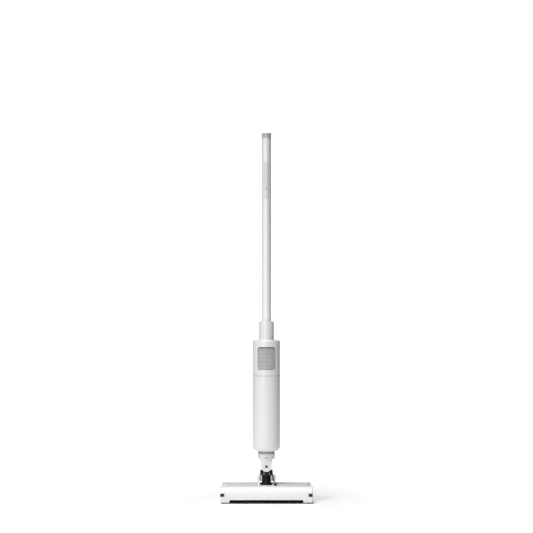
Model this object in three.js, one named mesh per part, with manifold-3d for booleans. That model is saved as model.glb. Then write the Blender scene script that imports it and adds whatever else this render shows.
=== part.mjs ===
// A cordless stick vacuum: a floor head with a driven brush roller, a two-axis neck, a dust cup, a motor unit with
// its battery, and a slim pole that is the handle. Millimetres, +Z up, the head's front towards -Y.
// The origin is on the floor, at the middle of the head.
import * as THREE from "three";
import { mergeVertices } from "three/addons/utils/BufferGeometryUtils.js";
import Module from "manifold-3d";

const wasm = await Module();
wasm.setup();

// ---------------------------------------------------------------- driving dimensions

const GAP = 0.3; // between two pieces that touch
const BITE = 0.5; // how far joined shapes run into each other
const BODY_ROUND = 32; // sides of the body's shells
const ROUND = 28; // sides of a large round piece
const SMALL_ROUND = 12; // sides of a small one

// Floor head
const HEAD_WIDTH = 252;
const HEAD_DEPTH = 114;
const REAR_INSET = 3; // the rear cover's side, in from the end caps'
const SHELL_WALL = 2.2;
const GROUND_CLEARANCE = 2;
const HOOD_RADIUS = 25;
const ROLLER_AXIS_Z = 22;
const BRISTLE_RADIUS = 20.5;
const ROLLER_CORE_RADIUS = 14;
const ROLLER_SHAFT_RADIUS = 3;
const END_CAP_WIDTH = 14;
const SLIT_SIDE_MARGIN = 25.5; // from the head's side to the front slit's end
const SLIT_HEIGHT = 10.6;
const COVER_TOP_Z = 49;
const WHEEL_RADIUS = 9;
const WHEEL_WIDTH = 10;
const WHEEL_Y = 45;
const BUMPER_HEIGHT = 8.2;
const BUMPER_WIDTH = 11;

// Brush drive
const BRUSH_MOTOR_RADIUS = 12;
const BRUSH_MOTOR_LENGTH = 48;
const BRUSH_MOTOR_X = 54;
const BRUSH_MOTOR_Y = 18;
const ROLLER_PULLEY_RADIUS = 9;
const MOTOR_PULLEY_RADIUS = 5;
const BELT_WIDTH = 5;
const BELT_THICKNESS = 1.4;

// Neck
const STICK_Y = 10; // the pole, body and neck share this axis
const HOSE_RADIUS = 13.8;
const HOSE_WALL = 1.8;
const TILT_Z = 64.5;
const SWING_RISE = 33; // from the tilt axis up to the swing axis
const LUG_THICKNESS = 4;
const TILT_PIN_RADIUS = 3.2;
const SWING_PIN_RADIUS = 3;
const NECK_RING_RADIUS = 23.1;
const NECK_RING_HEIGHT = 11.4;
const NECK_RING_RISE = 23; // from the swing axis up to the ring
const SPIGOT_RADIUS = 16.6;
const SPIGOT_LENGTH = 24;

// Body
const BODY_RADIUS = 37;
const BODY_WALL = 2.2;
const SOCKET_BAND = 6;
const CUP_HEIGHT = 207.5;
const CUP_ROUND = 13;
const HOUSING_HEIGHT = 96;
const COLLAR_RADIUS = 20.3;
const COLLAR_HEIGHT = 52.5;
const GRILLE_WIDTH = 48;
const GRILLE_HEIGHT = 62.7;
const GRILLE_RISE = 16.5; // from the seam up to the grille
const MOTOR_RADIUS = 22;
const CELL_RADIUS = 9;
const CELL_LENGTH = 65;

// Pole
const POLE_RADIUS = 12.5;
const POLE_WALL = 1.4;
const POLE_LENGTH = 550;
const POLE_INSERT = 46;
const POLE_CAP_HEIGHT = 14;
const PANEL_LENGTH = 100;
const PANEL_HALF_WIDTH = 6;
const PANEL_DROP = 67; // from the pole's top end down to the control panel

// ---------------------------------------------------------------- levels and places that follow from them

const HEAD_FRONT = -HEAD_DEPTH / 2;
const HEAD_BACK = HEAD_DEPTH / 2;
const REAR_WIDTH = HEAD_WIDTH - 2 * REAR_INSET;
const ROLLER_Y = HEAD_FRONT + HOOD_RADIUS;
const END_CAP_X = HEAD_WIDTH / 2 - END_CAP_WIDTH; // where the end caps start
const SLIT_X = HEAD_WIDTH / 2 - SLIT_SIDE_MARGIN;
const CHAMBER_BACK = ROLLER_Y + BRISTLE_RADIUS + 3.2;
const SIDE_PLATE_X = SLIT_X + 0.8; // the plates that close the roller chamber
const SIDE_PLATE = 2.2;
const BELT_X = SIDE_PLATE_X + SIDE_PLATE + 1.6;
const ROLLER_BEARING_RADIUS = 7.7;
const BRUSH_MOTOR_Z = GROUND_CLEARANCE + SHELL_WALL + BRUSH_MOTOR_RADIUS + 4;
const FLOOR_TOP = GROUND_CLEARANCE + 2.4;
const WHEEL_X = REAR_WIDTH / 2 - 24;
const CHAMBER_TOP = 40;

const SWING_Z = TILT_Z + SWING_RISE;
const GIMBAL_BORE = HOSE_RADIUS + 0.6;
const GIMBAL_RADIUS = GIMBAL_BORE + 2.8;
const NECK_HALF_WIDTH = GIMBAL_BORE + 0.1;
const SPOUT_RADIUS = GIMBAL_BORE - 1.4;
const AIR_RADIUS = HOSE_RADIUS - 3.3; // clear bore for the air
const LUG_ROUND = 8.5; // the side lugs' round ends, about the tilt axis
const UPRIGHT_ROUND = 12; // the front and rear lugs' round tops, about the swing axis
const BAND_BOTTOM = TILT_Z + 7.5;
const BAND_TOP = BAND_BOTTOM + 14;
const SIDE_LUG_OUT = GIMBAL_BORE + LUG_THICKNESS;
const CRADLE_IN = SIDE_LUG_OUT + 0.6;
const CRADLE_OUT = CRADLE_IN + 5.2;
const EAR_IN = GIMBAL_BORE + 3 + 0.4;
const EAR_OUT = EAR_IN + LUG_THICKNESS;
const NECK_RING_Z = SWING_Z + NECK_RING_RISE;
const NECK_TOP = NECK_RING_Z + NECK_RING_HEIGHT;
const CROWN_BOTTOM = SWING_Z + UPRIGHT_ROUND + 2;
const SPOUT_BOTTOM = SWING_Z + 6.6;

const SOCKET_Z = NECK_TOP + GAP;
const CUP_Z = SOCKET_Z + SOCKET_BAND + GAP;
const SEAM_Z = CUP_Z + CUP_HEIGHT;
const HOUSING_Z = SEAM_Z + GAP;
const HOUSING_TOP = HOUSING_Z + HOUSING_HEIGHT;
const COLLAR_TOP = HOUSING_TOP + COLLAR_HEIGHT;
const POLE_Z = COLLAR_TOP - POLE_INSERT;
const POLE_TOP = POLE_Z + POLE_LENGTH;
const BODY_INSIDE = BODY_RADIUS - BODY_WALL;
const SOCKET_RADIUS = 20;
const FILTER_SEAT_Z = SEAM_Z - 62;
const POD_RADIUS = MOTOR_RADIUS + 4;
const POD_BOTTOM = SEAM_Z - 48;
const PANEL_TOP = POLE_TOP - PANEL_DROP;
const PANEL_BOTTOM = PANEL_TOP - PANEL_LENGTH;

// ---------------------------------------------------------------- materials

const paint = (color, roughness, metalness = 0) =>
  new THREE.MeshStandardMaterial({ color, roughness, metalness });
const WHITE = () => paint(0xf2f2f1, 0.42);
const WHITE_PAINT = () => paint(0xeeeeed, 0.35, 0.1);
const PALE_GREY = () => paint(0xc9c9c9, 0.5);
const MID_GREY = () => paint(0x8d8f91, 0.5);
const DARK_GREY = () => paint(0x4b4d50, 0.55);
const BLACK = () => paint(0x141414, 0.6);
const RUBBER = () => paint(0x1d1d1d, 0.85);
const STEEL = () => paint(0xb4b7ba, 0.3, 0.9);
const FOAM = () => paint(0x5c5f63, 0.95);
const PAPER = () => paint(0xe9e6dc, 0.9);
const BOARD = () => paint(0x1f5a3a, 0.6);
const WRAP = () => paint(0x2b5f8c, 0.5);
const LENS = () => paint(0xdfe9f2, 0.2);

// ---------------------------------------------------------------- shapes

// A closed geometry as a solid that can be joined and cut, with its faces pointing out.
function solidOf(geometry) {
  const bare = geometry.index ? geometry.toNonIndexed() : geometry.clone();
  bare.deleteAttribute("normal");
  bare.deleteAttribute("uv");
  const merged = mergeVertices(bare, 1e-4);
  const vertProperties = merged.attributes.position.array;
  const triVerts = new Uint32Array(merged.index.array);
  const solid = new wasm.Manifold(new wasm.Mesh({ numProp: 3, vertProperties, triVerts }));
  if (solid.volume() > 0) return solid;
  const turnedRound = triVerts.reverse();
  return new wasm.Manifold(new wasm.Mesh({ numProp: 3, vertProperties, triVerts: turnedRound }));
}

function geometryOf(solid) {
  const mesh = solid.getMesh();
  const points = new Float32Array(mesh.numVert * 3);
  for (let i = 0; i < mesh.numVert; i++)
    points.set(mesh.vertProperties.subarray(i * mesh.numProp, i * mesh.numProp + 3), i * 3);
  const geometry = new THREE.BufferGeometry();
  geometry.setAttribute("position", new THREE.BufferAttribute(points, 3));
  geometry.setIndex(new THREE.BufferAttribute(mesh.triVerts, 1));
  return geometry;
}

const join = (first, ...others) =>
  geometryOf(others.reduce((sum, g) => sum.add(solidOf(g)), solidOf(first)));
const cut = (first, ...others) =>
  geometryOf(others.reduce((rest, g) => rest.subtract(solidOf(g)), solidOf(first)));
const common = (first, other) => geometryOf(solidOf(first).intersect(solidOf(other)));

// Turns a shape made about or along Z so that Z becomes the named axis.
function alongAxis(geometry, axis) {
  if (axis === "x") geometry.rotateY(Math.PI / 2);
  if (axis === "y") geometry.rotateX(-Math.PI / 2);
  return geometry;
}

// A profile of [radius, height] pairs turned about Z.
function turned(profile, sides = ROUND) {
  const points = profile.map(([radius, height]) => new THREE.Vector2(radius, height));
  return new THREE.LatheGeometry(points, sides).rotateX(Math.PI / 2);
}

function rod(radius, from, to, axis = "z", sides = SMALL_ROUND) {
  const profile = [[0, from], [radius, from], [radius, to], [0, to]];
  return alongAxis(turned(profile, sides), axis);
}

function ring(outer, inner, from, to, axis = "z", sides = ROUND) {
  const profile = [[inner, from], [outer, from], [outer, to], [inner, to], [inner, from]];
  return alongAxis(turned(profile, sides), axis);
}

function block([x0, x1], [y0, y1], [z0, z1]) {
  const box = new THREE.BoxGeometry(x1 - x0, y1 - y0, z1 - z0);
  return box.translate((x0 + x1) / 2, (y0 + y1) / 2, (z0 + z1) / 2);
}

const sided = (side, near, far) => (side > 0 ? [near, far] : [-far, -near]);

// An outline drawn in y and z, extruded along X.
function alongX(outline, from, to, curveSegments = 8) {
  const made = new THREE.ExtrudeGeometry(outline, { depth: to - from, bevelEnabled: false, curveSegments });
  const turn = new THREE.Matrix4().makeBasis(
    new THREE.Vector3(0, 1, 0),
    new THREE.Vector3(0, 0, 1),
    new THREE.Vector3(1, 0, 0),
  );
  return made.applyMatrix4(turn).translate(from, 0, 0);
}

// An outline drawn in x and z, extruded along Y.
function alongY(outline, from, to, curveSegments = 8) {
  const made = new THREE.ExtrudeGeometry(outline, { depth: to - from, bevelEnabled: false, curveSegments });
  return made.rotateX(Math.PI / 2).translate(0, to, 0);
}

// An outline drawn in x and y, extruded along Z.
function alongZ(outline, from, to, curveSegments = 8) {
  const made = new THREE.ExtrudeGeometry(outline, { depth: to - from, bevelEnabled: false, curveSegments });
  return made.translate(0, 0, from);
}

// A straight-sided lug with one round end of the given radius about (across, level), reaching to `end`.
function lugOutline(across, level, radius, end) {
  const outline = new THREE.Shape();
  const above = end > level;
  outline.moveTo(across + radius, end);
  outline.lineTo(across + radius, level);
  outline.absarc(across, level, radius, 0, Math.PI, above);
  outline.lineTo(across - radius, end);
  outline.closePath();
  return outline;
}

// The angle each way from the front at which a wall of the given radius is `half` wide.
const spreadOf = (half, radius) => Math.asin(half / radius);

// A stretch of curved wall about the Z axis, reaching the angle `spread` each way from the front.
function frontWall(outer, inner, spread, from, to, steps = 6) {
  const outline = new THREE.Shape();
  const front = -Math.PI / 2;
  outline.absarc(0, 0, outer, front - spread, front + spread, false);
  outline.absarc(0, 0, inner, front + spread, front - spread, true);
  outline.closePath();
  return alongZ(outline, from, to, steps);
}

function piece(parent, name, geometry, material, place = [0, 0, 0]) {
  const mesh = new THREE.Mesh(geometry, material);
  mesh.name = name;
  mesh.position.set(...place);
  parent.add(mesh);
  return mesh;
}

const vacuum = new THREE.Group();
const head = new THREE.Group();
const stick = new THREE.Group();
stick.position.set(0, STICK_Y, 0);
vacuum.add(head, stick);

// ---------------------------------------------------------------- floor head

const HOOD_REAR_ANGLE = (62 * Math.PI) / 180;
const HOOD_UNDER_ANGLE = Math.PI + Math.asin((ROLLER_AXIS_Z - GROUND_CLEARANCE) / HOOD_RADIUS);

// The white half-round hood over the roller, open at the front along the slit.
function rollerHood() {
  const outline = new THREE.Shape();
  outline.absarc(ROLLER_Y, ROLLER_AXIS_Z, HOOD_RADIUS, HOOD_REAR_ANGLE, HOOD_UNDER_ANGLE, false);
  const inside = HOOD_RADIUS - SHELL_WALL;
  outline.absarc(ROLLER_Y, ROLLER_AXIS_Z, inside, HOOD_UNDER_ANGLE, HOOD_REAR_ANGLE, true);
  outline.closePath();
  const half = END_CAP_X - GAP / 2;
  const shell = alongX(outline, -half, half, 20);
  const slit = block([-SLIT_X, SLIT_X], [HEAD_FRONT - 1, ROLLER_Y - 4], [0, SLIT_HEIGHT]);
  return cut(shell, slit);
}

// The closed outline of the head's side, from the hood's curve back to the roller chamber's rear wall.
function endOutline(inset = 0) {
  const outline = new THREE.Shape();
  const radius = HOOD_RADIUS - inset;
  outline.absarc(ROLLER_Y, ROLLER_AXIS_Z, radius, HOOD_REAR_ANGLE, HOOD_UNDER_ANGLE, false);
  outline.lineTo(CHAMBER_BACK - inset, GROUND_CLEARANCE + inset);
  outline.lineTo(CHAMBER_BACK - inset, ROLLER_AXIS_Z + radius * Math.sin(HOOD_REAR_ANGLE) - 3);
  outline.closePath();
  return outline;
}

const BUMPER_MIDDLE_Z = ROLLER_AXIS_Z + 2;
const BUMPER_Z = [BUMPER_MIDDLE_Z - BUMPER_HEIGHT / 2, BUMPER_MIDDLE_Z + BUMPER_HEIGHT / 2];
const BUMPER_BACK = HEAD_FRONT + 12;

function bumper(side) {
  const outer = HEAD_WIDTH / 2;
  const x = sided(side, outer - BUMPER_WIDTH, outer);
  const pad = block(x, [HEAD_FRONT, BUMPER_BACK], BUMPER_Z);
  const hollow = sided(side, outer - BUMPER_WIDTH - 1, outer - 3);
  return cut(pad, block(hollow, [HEAD_FRONT + 3, BUMPER_BACK + 1], [0, HEAD_DEPTH]));
}

// The end cap narrows in two steps to a softened outer edge, and holds the bumper.
function endCap(side) {
  const outer = HEAD_WIDTH / 2;
  const steps = [
    [END_CAP_X + GAP / 2, outer - 3, 0],
    [END_CAP_X + GAP / 2, outer - 1, 1.2],
    [END_CAP_X + GAP / 2, outer, 3],
  ];
  const bodies = steps.map(([from, to, inset]) => alongX(endOutline(inset), ...sided(side, from, to), 16));
  const z = [BUMPER_Z[0] - GAP, BUMPER_Z[1] + GAP];
  const seat = block(sided(side, outer - BUMPER_WIDTH - GAP, outer + 1), [HEAD_FRONT - 1, BUMPER_BACK + GAP], z);
  const core = sided(side, outer - BUMPER_WIDTH - 2, outer - 3 - GAP);
  const post = block(core, [HEAD_FRONT + 3 + GAP, BUMPER_BACK + 1], z);
  return join(cut(join(...bodies), seat), post);
}

const GLIDE_X = [END_CAP_X - 6, HEAD_WIDTH / 2 - 4];

function glide(side) {
  return block(sided(side, ...GLIDE_X), [HEAD_FRONT + 10, HEAD_FRONT + 22], [0, GROUND_CLEARANCE - GAP]);
}

const SCREW_PLACES = [
  [-58, WHEEL_Y + 3],
  [58, WHEEL_Y + 3],
  [-90, STICK_Y - 4],
  [90, STICK_Y - 4],
];
const SCREW_HEAD = 3;
const SCREW_SHANK = 1.5;
const BOSS_TOP = 14;

// The base tray with the roller chamber's rear wall, its side plates, screw bosses and wheel brackets.
function chassis() {
  const inside = REAR_WIDTH / 2 - SHELL_WALL - 0.4;
  const wallX = END_CAP_X - GAP;
  const back = HEAD_BACK - SHELL_WALL - GAP;
  const parts = [block([-inside, inside], [CHAMBER_BACK + GAP, back], [GROUND_CLEARANCE, FLOOR_TOP])];
  parts.push(block([-wallX, wallX], [CHAMBER_BACK, CHAMBER_BACK + SHELL_WALL], [GROUND_CLEARANCE, CHAMBER_TOP]));
  parts.push(block([-wallX, wallX], [ROLLER_Y + 13.4, CHAMBER_BACK + 1], [CHAMBER_TOP - 1.8, CHAMBER_TOP]));
  for (const side of [-1, 1]) {
    const x = sided(side, SIDE_PLATE_X, SIDE_PLATE_X + SIDE_PLATE);
    const disc = HOOD_RADIUS - SHELL_WALL - 0.8;
    parts.push(rod(disc, ...x, "x", ROUND).translate(0, ROLLER_Y, ROLLER_AXIS_Z));
    parts.push(block(x, [ROLLER_Y, CHAMBER_BACK + BITE], [GROUND_CLEARANCE, CHAMBER_TOP]));
    for (const near of [WHEEL_X - 2.2, WHEEL_X + WHEEL_WIDTH + 0.6]) {
      const bracket = sided(side, near, near + 1.6);
      parts.push(block(bracket, [WHEEL_Y - 6, WHEEL_Y + 6], [GROUND_CLEARANCE, WHEEL_RADIUS + 4]));
    }
  }
  for (const [x, y] of SCREW_PLACES) parts.push(rod(4, GROUND_CLEARANCE, BOSS_TOP).translate(x, y, 0));
  const bed = BRUSH_MOTOR_RADIUS - 1;
  for (const x of [BRUSH_MOTOR_X - 18, BRUSH_MOTOR_X + 14]) {
    const y = [BRUSH_MOTOR_Y - bed, BRUSH_MOTOR_Y + bed];
    parts.push(block([x, x + 4], y, [GROUND_CLEARANCE, BRUSH_MOTOR_Z - 4]));
  }
  const motorX = [BRUSH_MOTOR_X - BRUSH_MOTOR_LENGTH, BRUSH_MOTOR_X + BRUSH_MOTOR_LENGTH / 2];
  const motorSpace = rod(BRUSH_MOTOR_RADIUS + GAP, ...motorX, "x", 24).translate(0, BRUSH_MOTOR_Y, BRUSH_MOTOR_Z);
  const cuts = [motorSpace];
  cuts.push(block([-12.4, 12.4], [CHAMBER_BACK - 1, CHAMBER_BACK + 4], [8, 32]));
  cuts.push(block([-HEAD_WIDTH, HEAD_WIDTH], [HEAD_FRONT, HEAD_BACK], [-HEAD_DEPTH, GROUND_CLEARANCE]));
  cuts.push(block([BELT_X - 0.8, wallX + 1], [CHAMBER_BACK - 1, CHAMBER_BACK + 4], [8, 36]));
  for (const side of [-1, 1]) {
    const x = sided(side, SIDE_PLATE_X - 1, SIDE_PLATE_X + SIDE_PLATE + 1);
    cuts.push(rod(ROLLER_BEARING_RADIUS + GAP, ...x, "x").translate(0, ROLLER_Y, ROLLER_AXIS_Z));
    const well = sided(side, WHEEL_X - 0.4, WHEEL_X + WHEEL_WIDTH + 0.4);
    cuts.push(block(well, [WHEEL_Y - WHEEL_RADIUS - 1, back + 1], [0, FLOOR_TOP + 1]));
    const axle = sided(side, WHEEL_X - 3, WHEEL_X + WHEEL_WIDTH + 3);
    cuts.push(rod(2.3, ...axle, "x").translate(0, WHEEL_Y, WHEEL_RADIUS));
  }
  for (const [x, y] of SCREW_PLACES) {
    cuts.push(rod(SCREW_SHANK + GAP, 0, BOSS_TOP + 1).translate(x, y, 0));
    cuts.push(rod(SCREW_HEAD + GAP, 0, GROUND_CLEARANCE + 1.8).translate(x, y, 0));
  }
  return cut(join(...parts), ...cuts);
}

function baseScrew() {
  const top = GROUND_CLEARANCE + 1.5;
  const profile = [[0, GROUND_CLEARANCE + 0.2], [SCREW_HEAD, GROUND_CLEARANCE + 0.2], [SCREW_HEAD, top]];
  profile.push([SCREW_SHANK, top], [SCREW_SHANK, BOSS_TOP - 1], [0, BOSS_TOP - 1]);
  return turned(profile, SMALL_ROUND);
}

// The cover behind the hood, in section: a low flat top that rolls down at the back.
function coverOutline(inset) {
  const outline = new THREE.Shape();
  const front = ROLLER_Y + HOOD_RADIUS * Math.cos(HOOD_REAR_ANGLE) + 0.9 + inset;
  const top = COVER_TOP_Z - inset;
  const back = HEAD_BACK - inset;
  outline.moveTo(front, GROUND_CLEARANCE + 2.6);
  outline.lineTo(front, top - 3);
  outline.quadraticCurveTo(front, top, front + 3, top);
  outline.lineTo(back - 21, top);
  outline.bezierCurveTo(back - 9, top, back, top - 9, back, top - 21);
  outline.lineTo(back, GROUND_CLEARANCE + 2.6);
  outline.closePath();
  return outline;
}

// The two upright cheeks that carry the tilt pins, wide at their feet and round at the top.
function cradleCheek(side) {
  const outline = new THREE.Shape();
  const foot = 15;
  const round = LUG_ROUND;
  outline.moveTo(STICK_Y - foot, COVER_TOP_Z - 1);
  outline.quadraticCurveTo(STICK_Y - round, COVER_TOP_Z + 3, STICK_Y - round, TILT_Z);
  outline.absarc(STICK_Y, TILT_Z, round, Math.PI, 0, true);
  outline.quadraticCurveTo(STICK_Y + round, COVER_TOP_Z + 3, STICK_Y + foot, COVER_TOP_Z - 1);
  outline.closePath();
  return alongX(outline, ...sided(side, CRADLE_IN, CRADLE_OUT));
}

// The rear cover is a shell open below, with the neck's cradle on it and a nose over the hood's crest.
function rearCover() {
  const half = REAR_WIDTH / 2;
  const shell = cut(
    alongX(coverOutline(0), -half, half),
    alongX(coverOutline(SHELL_WALL), -half + SHELL_WALL, half - SHELL_WALL),
    block([-half, half], [HEAD_FRONT, HEAD_BACK - SHELL_WALL], [0, GROUND_CLEARANCE + 2.7]),
    block([-half, half], [HEAD_FRONT, CHAMBER_BACK + SHELL_WALL + GAP], [0, CHAMBER_TOP + GAP]),
    ...[-1, 1].map((side) =>
      block(sided(side, END_CAP_X - GAP / 2, half + 1), [HEAD_FRONT, CHAMBER_BACK + GAP], [0, HEAD_DEPTH]),
    ),
  );
  const crest = ROLLER_AXIS_Z + HOOD_RADIUS;
  const noseHalf = CRADLE_OUT - 2;
  const nose = block([-noseHalf, noseHalf], [ROLLER_Y - 1, CHAMBER_BACK - 4], [crest + GAP, COVER_TOP_Z]);
  const slope = new THREE.Shape();
  slope.moveTo(ROLLER_Y - 2, crest + 0.8);
  slope.lineTo(ROLLER_Y + 9, COVER_TOP_Z + 0.01);
  slope.lineTo(ROLLER_Y - 2, COVER_TOP_Z + 0.01);
  slope.closePath();
  const noseTop = cut(nose, alongX(slope, -noseHalf - 1, noseHalf + 1));
  const made = join(shell, noseTop, cradleCheek(-1), cradleCheek(1));
  const hoseHole = rod(HOSE_RADIUS + 0.8, COVER_TOP_Z - 6, COVER_TOP_Z + 1, "z", ROUND).translate(0, STICK_Y, 0);
  const pinHole = rod(TILT_PIN_RADIUS + GAP, -CRADLE_OUT - 1, CRADLE_OUT + 1, "x").translate(0, STICK_Y, TILT_Z);
  return cut(made, hoseHole, pinHole);
}

function tiltPin(side) {
  const outer = CRADLE_OUT + GAP;
  const shank = rod(TILT_PIN_RADIUS, ...sided(side, GIMBAL_BORE + 0.2, outer + BITE), "x");
  const cap = rod(TILT_PIN_RADIUS + 1.8, ...sided(side, outer, outer + 1.2), "x");
  return join(shank, cap).translate(0, STICK_Y, TILT_Z);
}

// The air duct: a flat mouth on the roller chamber that turns up into the hose.
function headDuct() {
  const radius = HOSE_RADIUS - 0.6;
  const wall = 1.6;
  const y0 = CHAMBER_BACK + SHELL_WALL + GAP;
  const low = FLOOR_TOP + GAP;
  const high = 32;
  const top = COVER_TOP_Z - 3;
  const outside = join(
    rod(radius, low, top, "z", 24).translate(0, STICK_Y, 0),
    block([-radius, radius], [y0, STICK_Y], [low, high]),
  );
  const inside = radius - wall;
  return cut(
    outside,
    rod(inside, low + wall, top + 1, "z", 24).translate(0, STICK_Y, 0),
    block([-inside, inside], [y0 - 1, STICK_Y], [low + wall, high - wall]),
  );
}

// The lead to the brush motor leaves the neck's gimbal, runs down beside the hose and enters the cover by a boot.
const LEAD_RADIUS = 1.3;
const LEAD_ROUTE = [
  [14.6, -11.9, TILT_Z + 11.5],
  [16.6, -13.3, TILT_Z + 7.5],
  [18.6, -15.2, TILT_Z + 1.5],
  [20.0, -16.8, TILT_Z - 4],
  [23.0, -18.0, COVER_TOP_Z + 7.5],
  [26.0, -18.2, COVER_TOP_Z + 4.5],
];

function motorLead() {
  const points = LEAD_ROUTE.map(([x, y, z]) => new THREE.Vector3(x, y + STICK_Y, z));
  const section = new THREE.Shape();
  section.absarc(0, 0, LEAD_RADIUS, 0, 2 * Math.PI, false);
  const extrudePath = new THREE.CatmullRomCurve3(points);
  const options = { extrudePath, steps: 12, curveSegments: 8, bevelEnabled: false };
  const lead = new THREE.ExtrudeGeometry(section, options);
  const [x, y, z] = LEAD_ROUTE.at(-1);
  const foot = COVER_TOP_Z + GAP;
  const boot = turned([[0, foot], [4.4, foot], [4.2, foot + 2], [2, z + 2], [0, z + 2]], 12);
  return join(lead, boot.translate(x + 0.6, y + STICK_Y, 0));
}

piece(head, "chassis", chassis(), PALE_GREY());
piece(head, "rear_cover", rearCover(), WHITE());
piece(head, "roller_hood", rollerHood(), WHITE());
piece(head, "head_duct", headDuct(), DARK_GREY());
piece(head, "motor_lead", motorLead(), DARK_GREY());
for (const [side, hand] of [[-1, "left"], [1, "right"]]) {
  piece(head, `end_cap_${hand}`, endCap(side), WHITE());
  piece(head, `bumper_${hand}`, bumper(side), RUBBER());
  piece(head, `glide_${hand}`, glide(side), DARK_GREY());
  piece(head, `tilt_pin_${hand}`, tiltPin(side), PALE_GREY());
}
SCREW_PLACES.forEach(([x, y], i) => piece(head, `base_screw_${i + 1}`, baseScrew(), STEEL(), [x, y, 0]));

// ---------------------------------------------------------------- brush roller and its drive

const ROLLER_HALF = SLIT_X - 1.2;
const roller = new THREE.Group();
roller.position.set(0, ROLLER_Y, ROLLER_AXIS_Z);
head.add(roller);

function rollerCore() {
  const profile = [[0, -SIDE_PLATE_X - 4], [ROLLER_SHAFT_RADIUS, -SIDE_PLATE_X - 4]];
  profile.push([ROLLER_SHAFT_RADIUS, -ROLLER_HALF], [ROLLER_CORE_RADIUS, -ROLLER_HALF]);
  profile.push([ROLLER_CORE_RADIUS, ROLLER_HALF], [ROLLER_SHAFT_RADIUS, ROLLER_HALF]);
  profile.push([ROLLER_SHAFT_RADIUS, BELT_X + BELT_WIDTH + 0.8], [0, BELT_X + BELT_WIDTH + 0.8]);
  return alongAxis(turned(profile, 20), "x");
}

// Six rows of bristles on a sleeve.
function rollerBristles() {
  const outline = new THREE.Shape();
  const rows = 6;
  const sleeve = ROLLER_CORE_RADIUS + 1.6;
  for (let i = 0; i < rows; i++) {
    for (const [turn, radius] of [[0, sleeve], [0.3, sleeve], [0.38, BRISTLE_RADIUS], [0.62, BRISTLE_RADIUS], [0.7, sleeve]]) {
      const angle = ((i + turn) / rows) * 2 * Math.PI;
      const step = i || turn ? "lineTo" : "moveTo";
      outline[step](radius * Math.cos(angle), radius * Math.sin(angle));
    }
  }
  outline.closePath();
  const bore = new THREE.Path();
  bore.absarc(0, 0, ROLLER_CORE_RADIUS + GAP, 0, 2 * Math.PI, true);
  outline.holes.push(bore);
  return alongX(outline, -ROLLER_HALF + 1, ROLLER_HALF - 1, 10);
}

// The belt's loop around the two pulleys, as an outline at the given distance from their rims.
function beltOutline(offset) {
  const big = ROLLER_PULLEY_RADIUS + offset;
  const small = MOTOR_PULLEY_RADIUS + offset;
  const dy = BRUSH_MOTOR_Y - ROLLER_Y;
  const dz = BRUSH_MOTOR_Z - ROLLER_AXIS_Z;
  const lie = Math.atan2(dz, dy);
  const lean = Math.acos((big - small) / Math.hypot(dy, dz));
  const outline = new THREE.Shape();
  outline.absarc(0, 0, big, lie + lean, lie - lean + 2 * Math.PI, false);
  outline.absarc(dy, dz, small, lie - lean, lie + lean, false);
  outline.closePath();
  return outline;
}

function driveBelt() {
  const outline = beltOutline(GAP + BELT_THICKNESS);
  outline.holes.push(beltOutline(GAP));
  return alongX(outline, BELT_X, BELT_X + BELT_WIDTH, 12).translate(0, ROLLER_Y, ROLLER_AXIS_Z);
}

function brushMotor() {
  const x = [BRUSH_MOTOR_X - BRUSH_MOTOR_LENGTH / 2, BRUSH_MOTOR_X + BRUSH_MOTOR_LENGTH / 2];
  const can = rod(BRUSH_MOTOR_RADIUS, ...x, "x", 24);
  const nose = rod(4, x[1] - BITE, x[1] + 2, "x");
  return join(can, nose).translate(0, BRUSH_MOTOR_Y, BRUSH_MOTOR_Z);
}

// The small pulley on the brush motor's shaft.
function motorPulley() {
  const start = BRUSH_MOTOR_X + BRUSH_MOTOR_LENGTH / 2 + 2 + GAP;
  const shaft = rod(1.5, start, BELT_X + BITE, "x", 10);
  return join(shaft, rod(MOTOR_PULLEY_RADIUS, BELT_X, BELT_X + BELT_WIDTH, "x"));
}

const BEARING_X = [SIDE_PLATE_X + 0.1, SIDE_PLATE_X + SIDE_PLATE - 0.1];

piece(roller, "roller_core", rollerCore(), MID_GREY());
piece(roller, "roller_bristles", rollerBristles(), BLACK());
const rollerPulley = ring(ROLLER_PULLEY_RADIUS, ROLLER_SHAFT_RADIUS + GAP, BELT_X, BELT_X + BELT_WIDTH, "x", 24);
piece(roller, "roller_pulley", rollerPulley, DARK_GREY());
for (const [side, hand] of [[-1, "left"], [1, "right"]]) {
  const x = sided(side, ...BEARING_X);
  const bearing = ring(ROLLER_BEARING_RADIUS, ROLLER_SHAFT_RADIUS + GAP, ...x, "x", SMALL_ROUND);
  piece(roller, `roller_bearing_${hand}`, bearing, STEEL());
}
piece(head, "drive_belt", driveBelt(), RUBBER());
piece(head, "brush_motor", brushMotor(), STEEL());
piece(head, "motor_pulley", motorPulley(), DARK_GREY(), [0, BRUSH_MOTOR_Y, BRUSH_MOTOR_Z]);

// A floor wheel with its axle stubs moulded on.
function wheel() {
  const half = WHEEL_WIDTH / 2;
  const profile = [[0, -half - 2], [2, -half - 2], [2, -half], [WHEEL_RADIUS - 1, -half], [WHEEL_RADIUS, 1 - half]];
  const mirrored = profile.map(([radius, height]) => [radius, -height]).reverse();
  return alongAxis(turned([...profile, ...mirrored], 24), "x");
}
for (const [side, hand] of [[-1, "left"], [1, "right"]])
  piece(head, `wheel_${hand}`, wheel(), DARK_GREY(), [side * (WHEEL_X + WHEEL_WIDTH / 2), WHEEL_Y, WHEEL_RADIUS]);

// ---------------------------------------------------------------- neck

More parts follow.
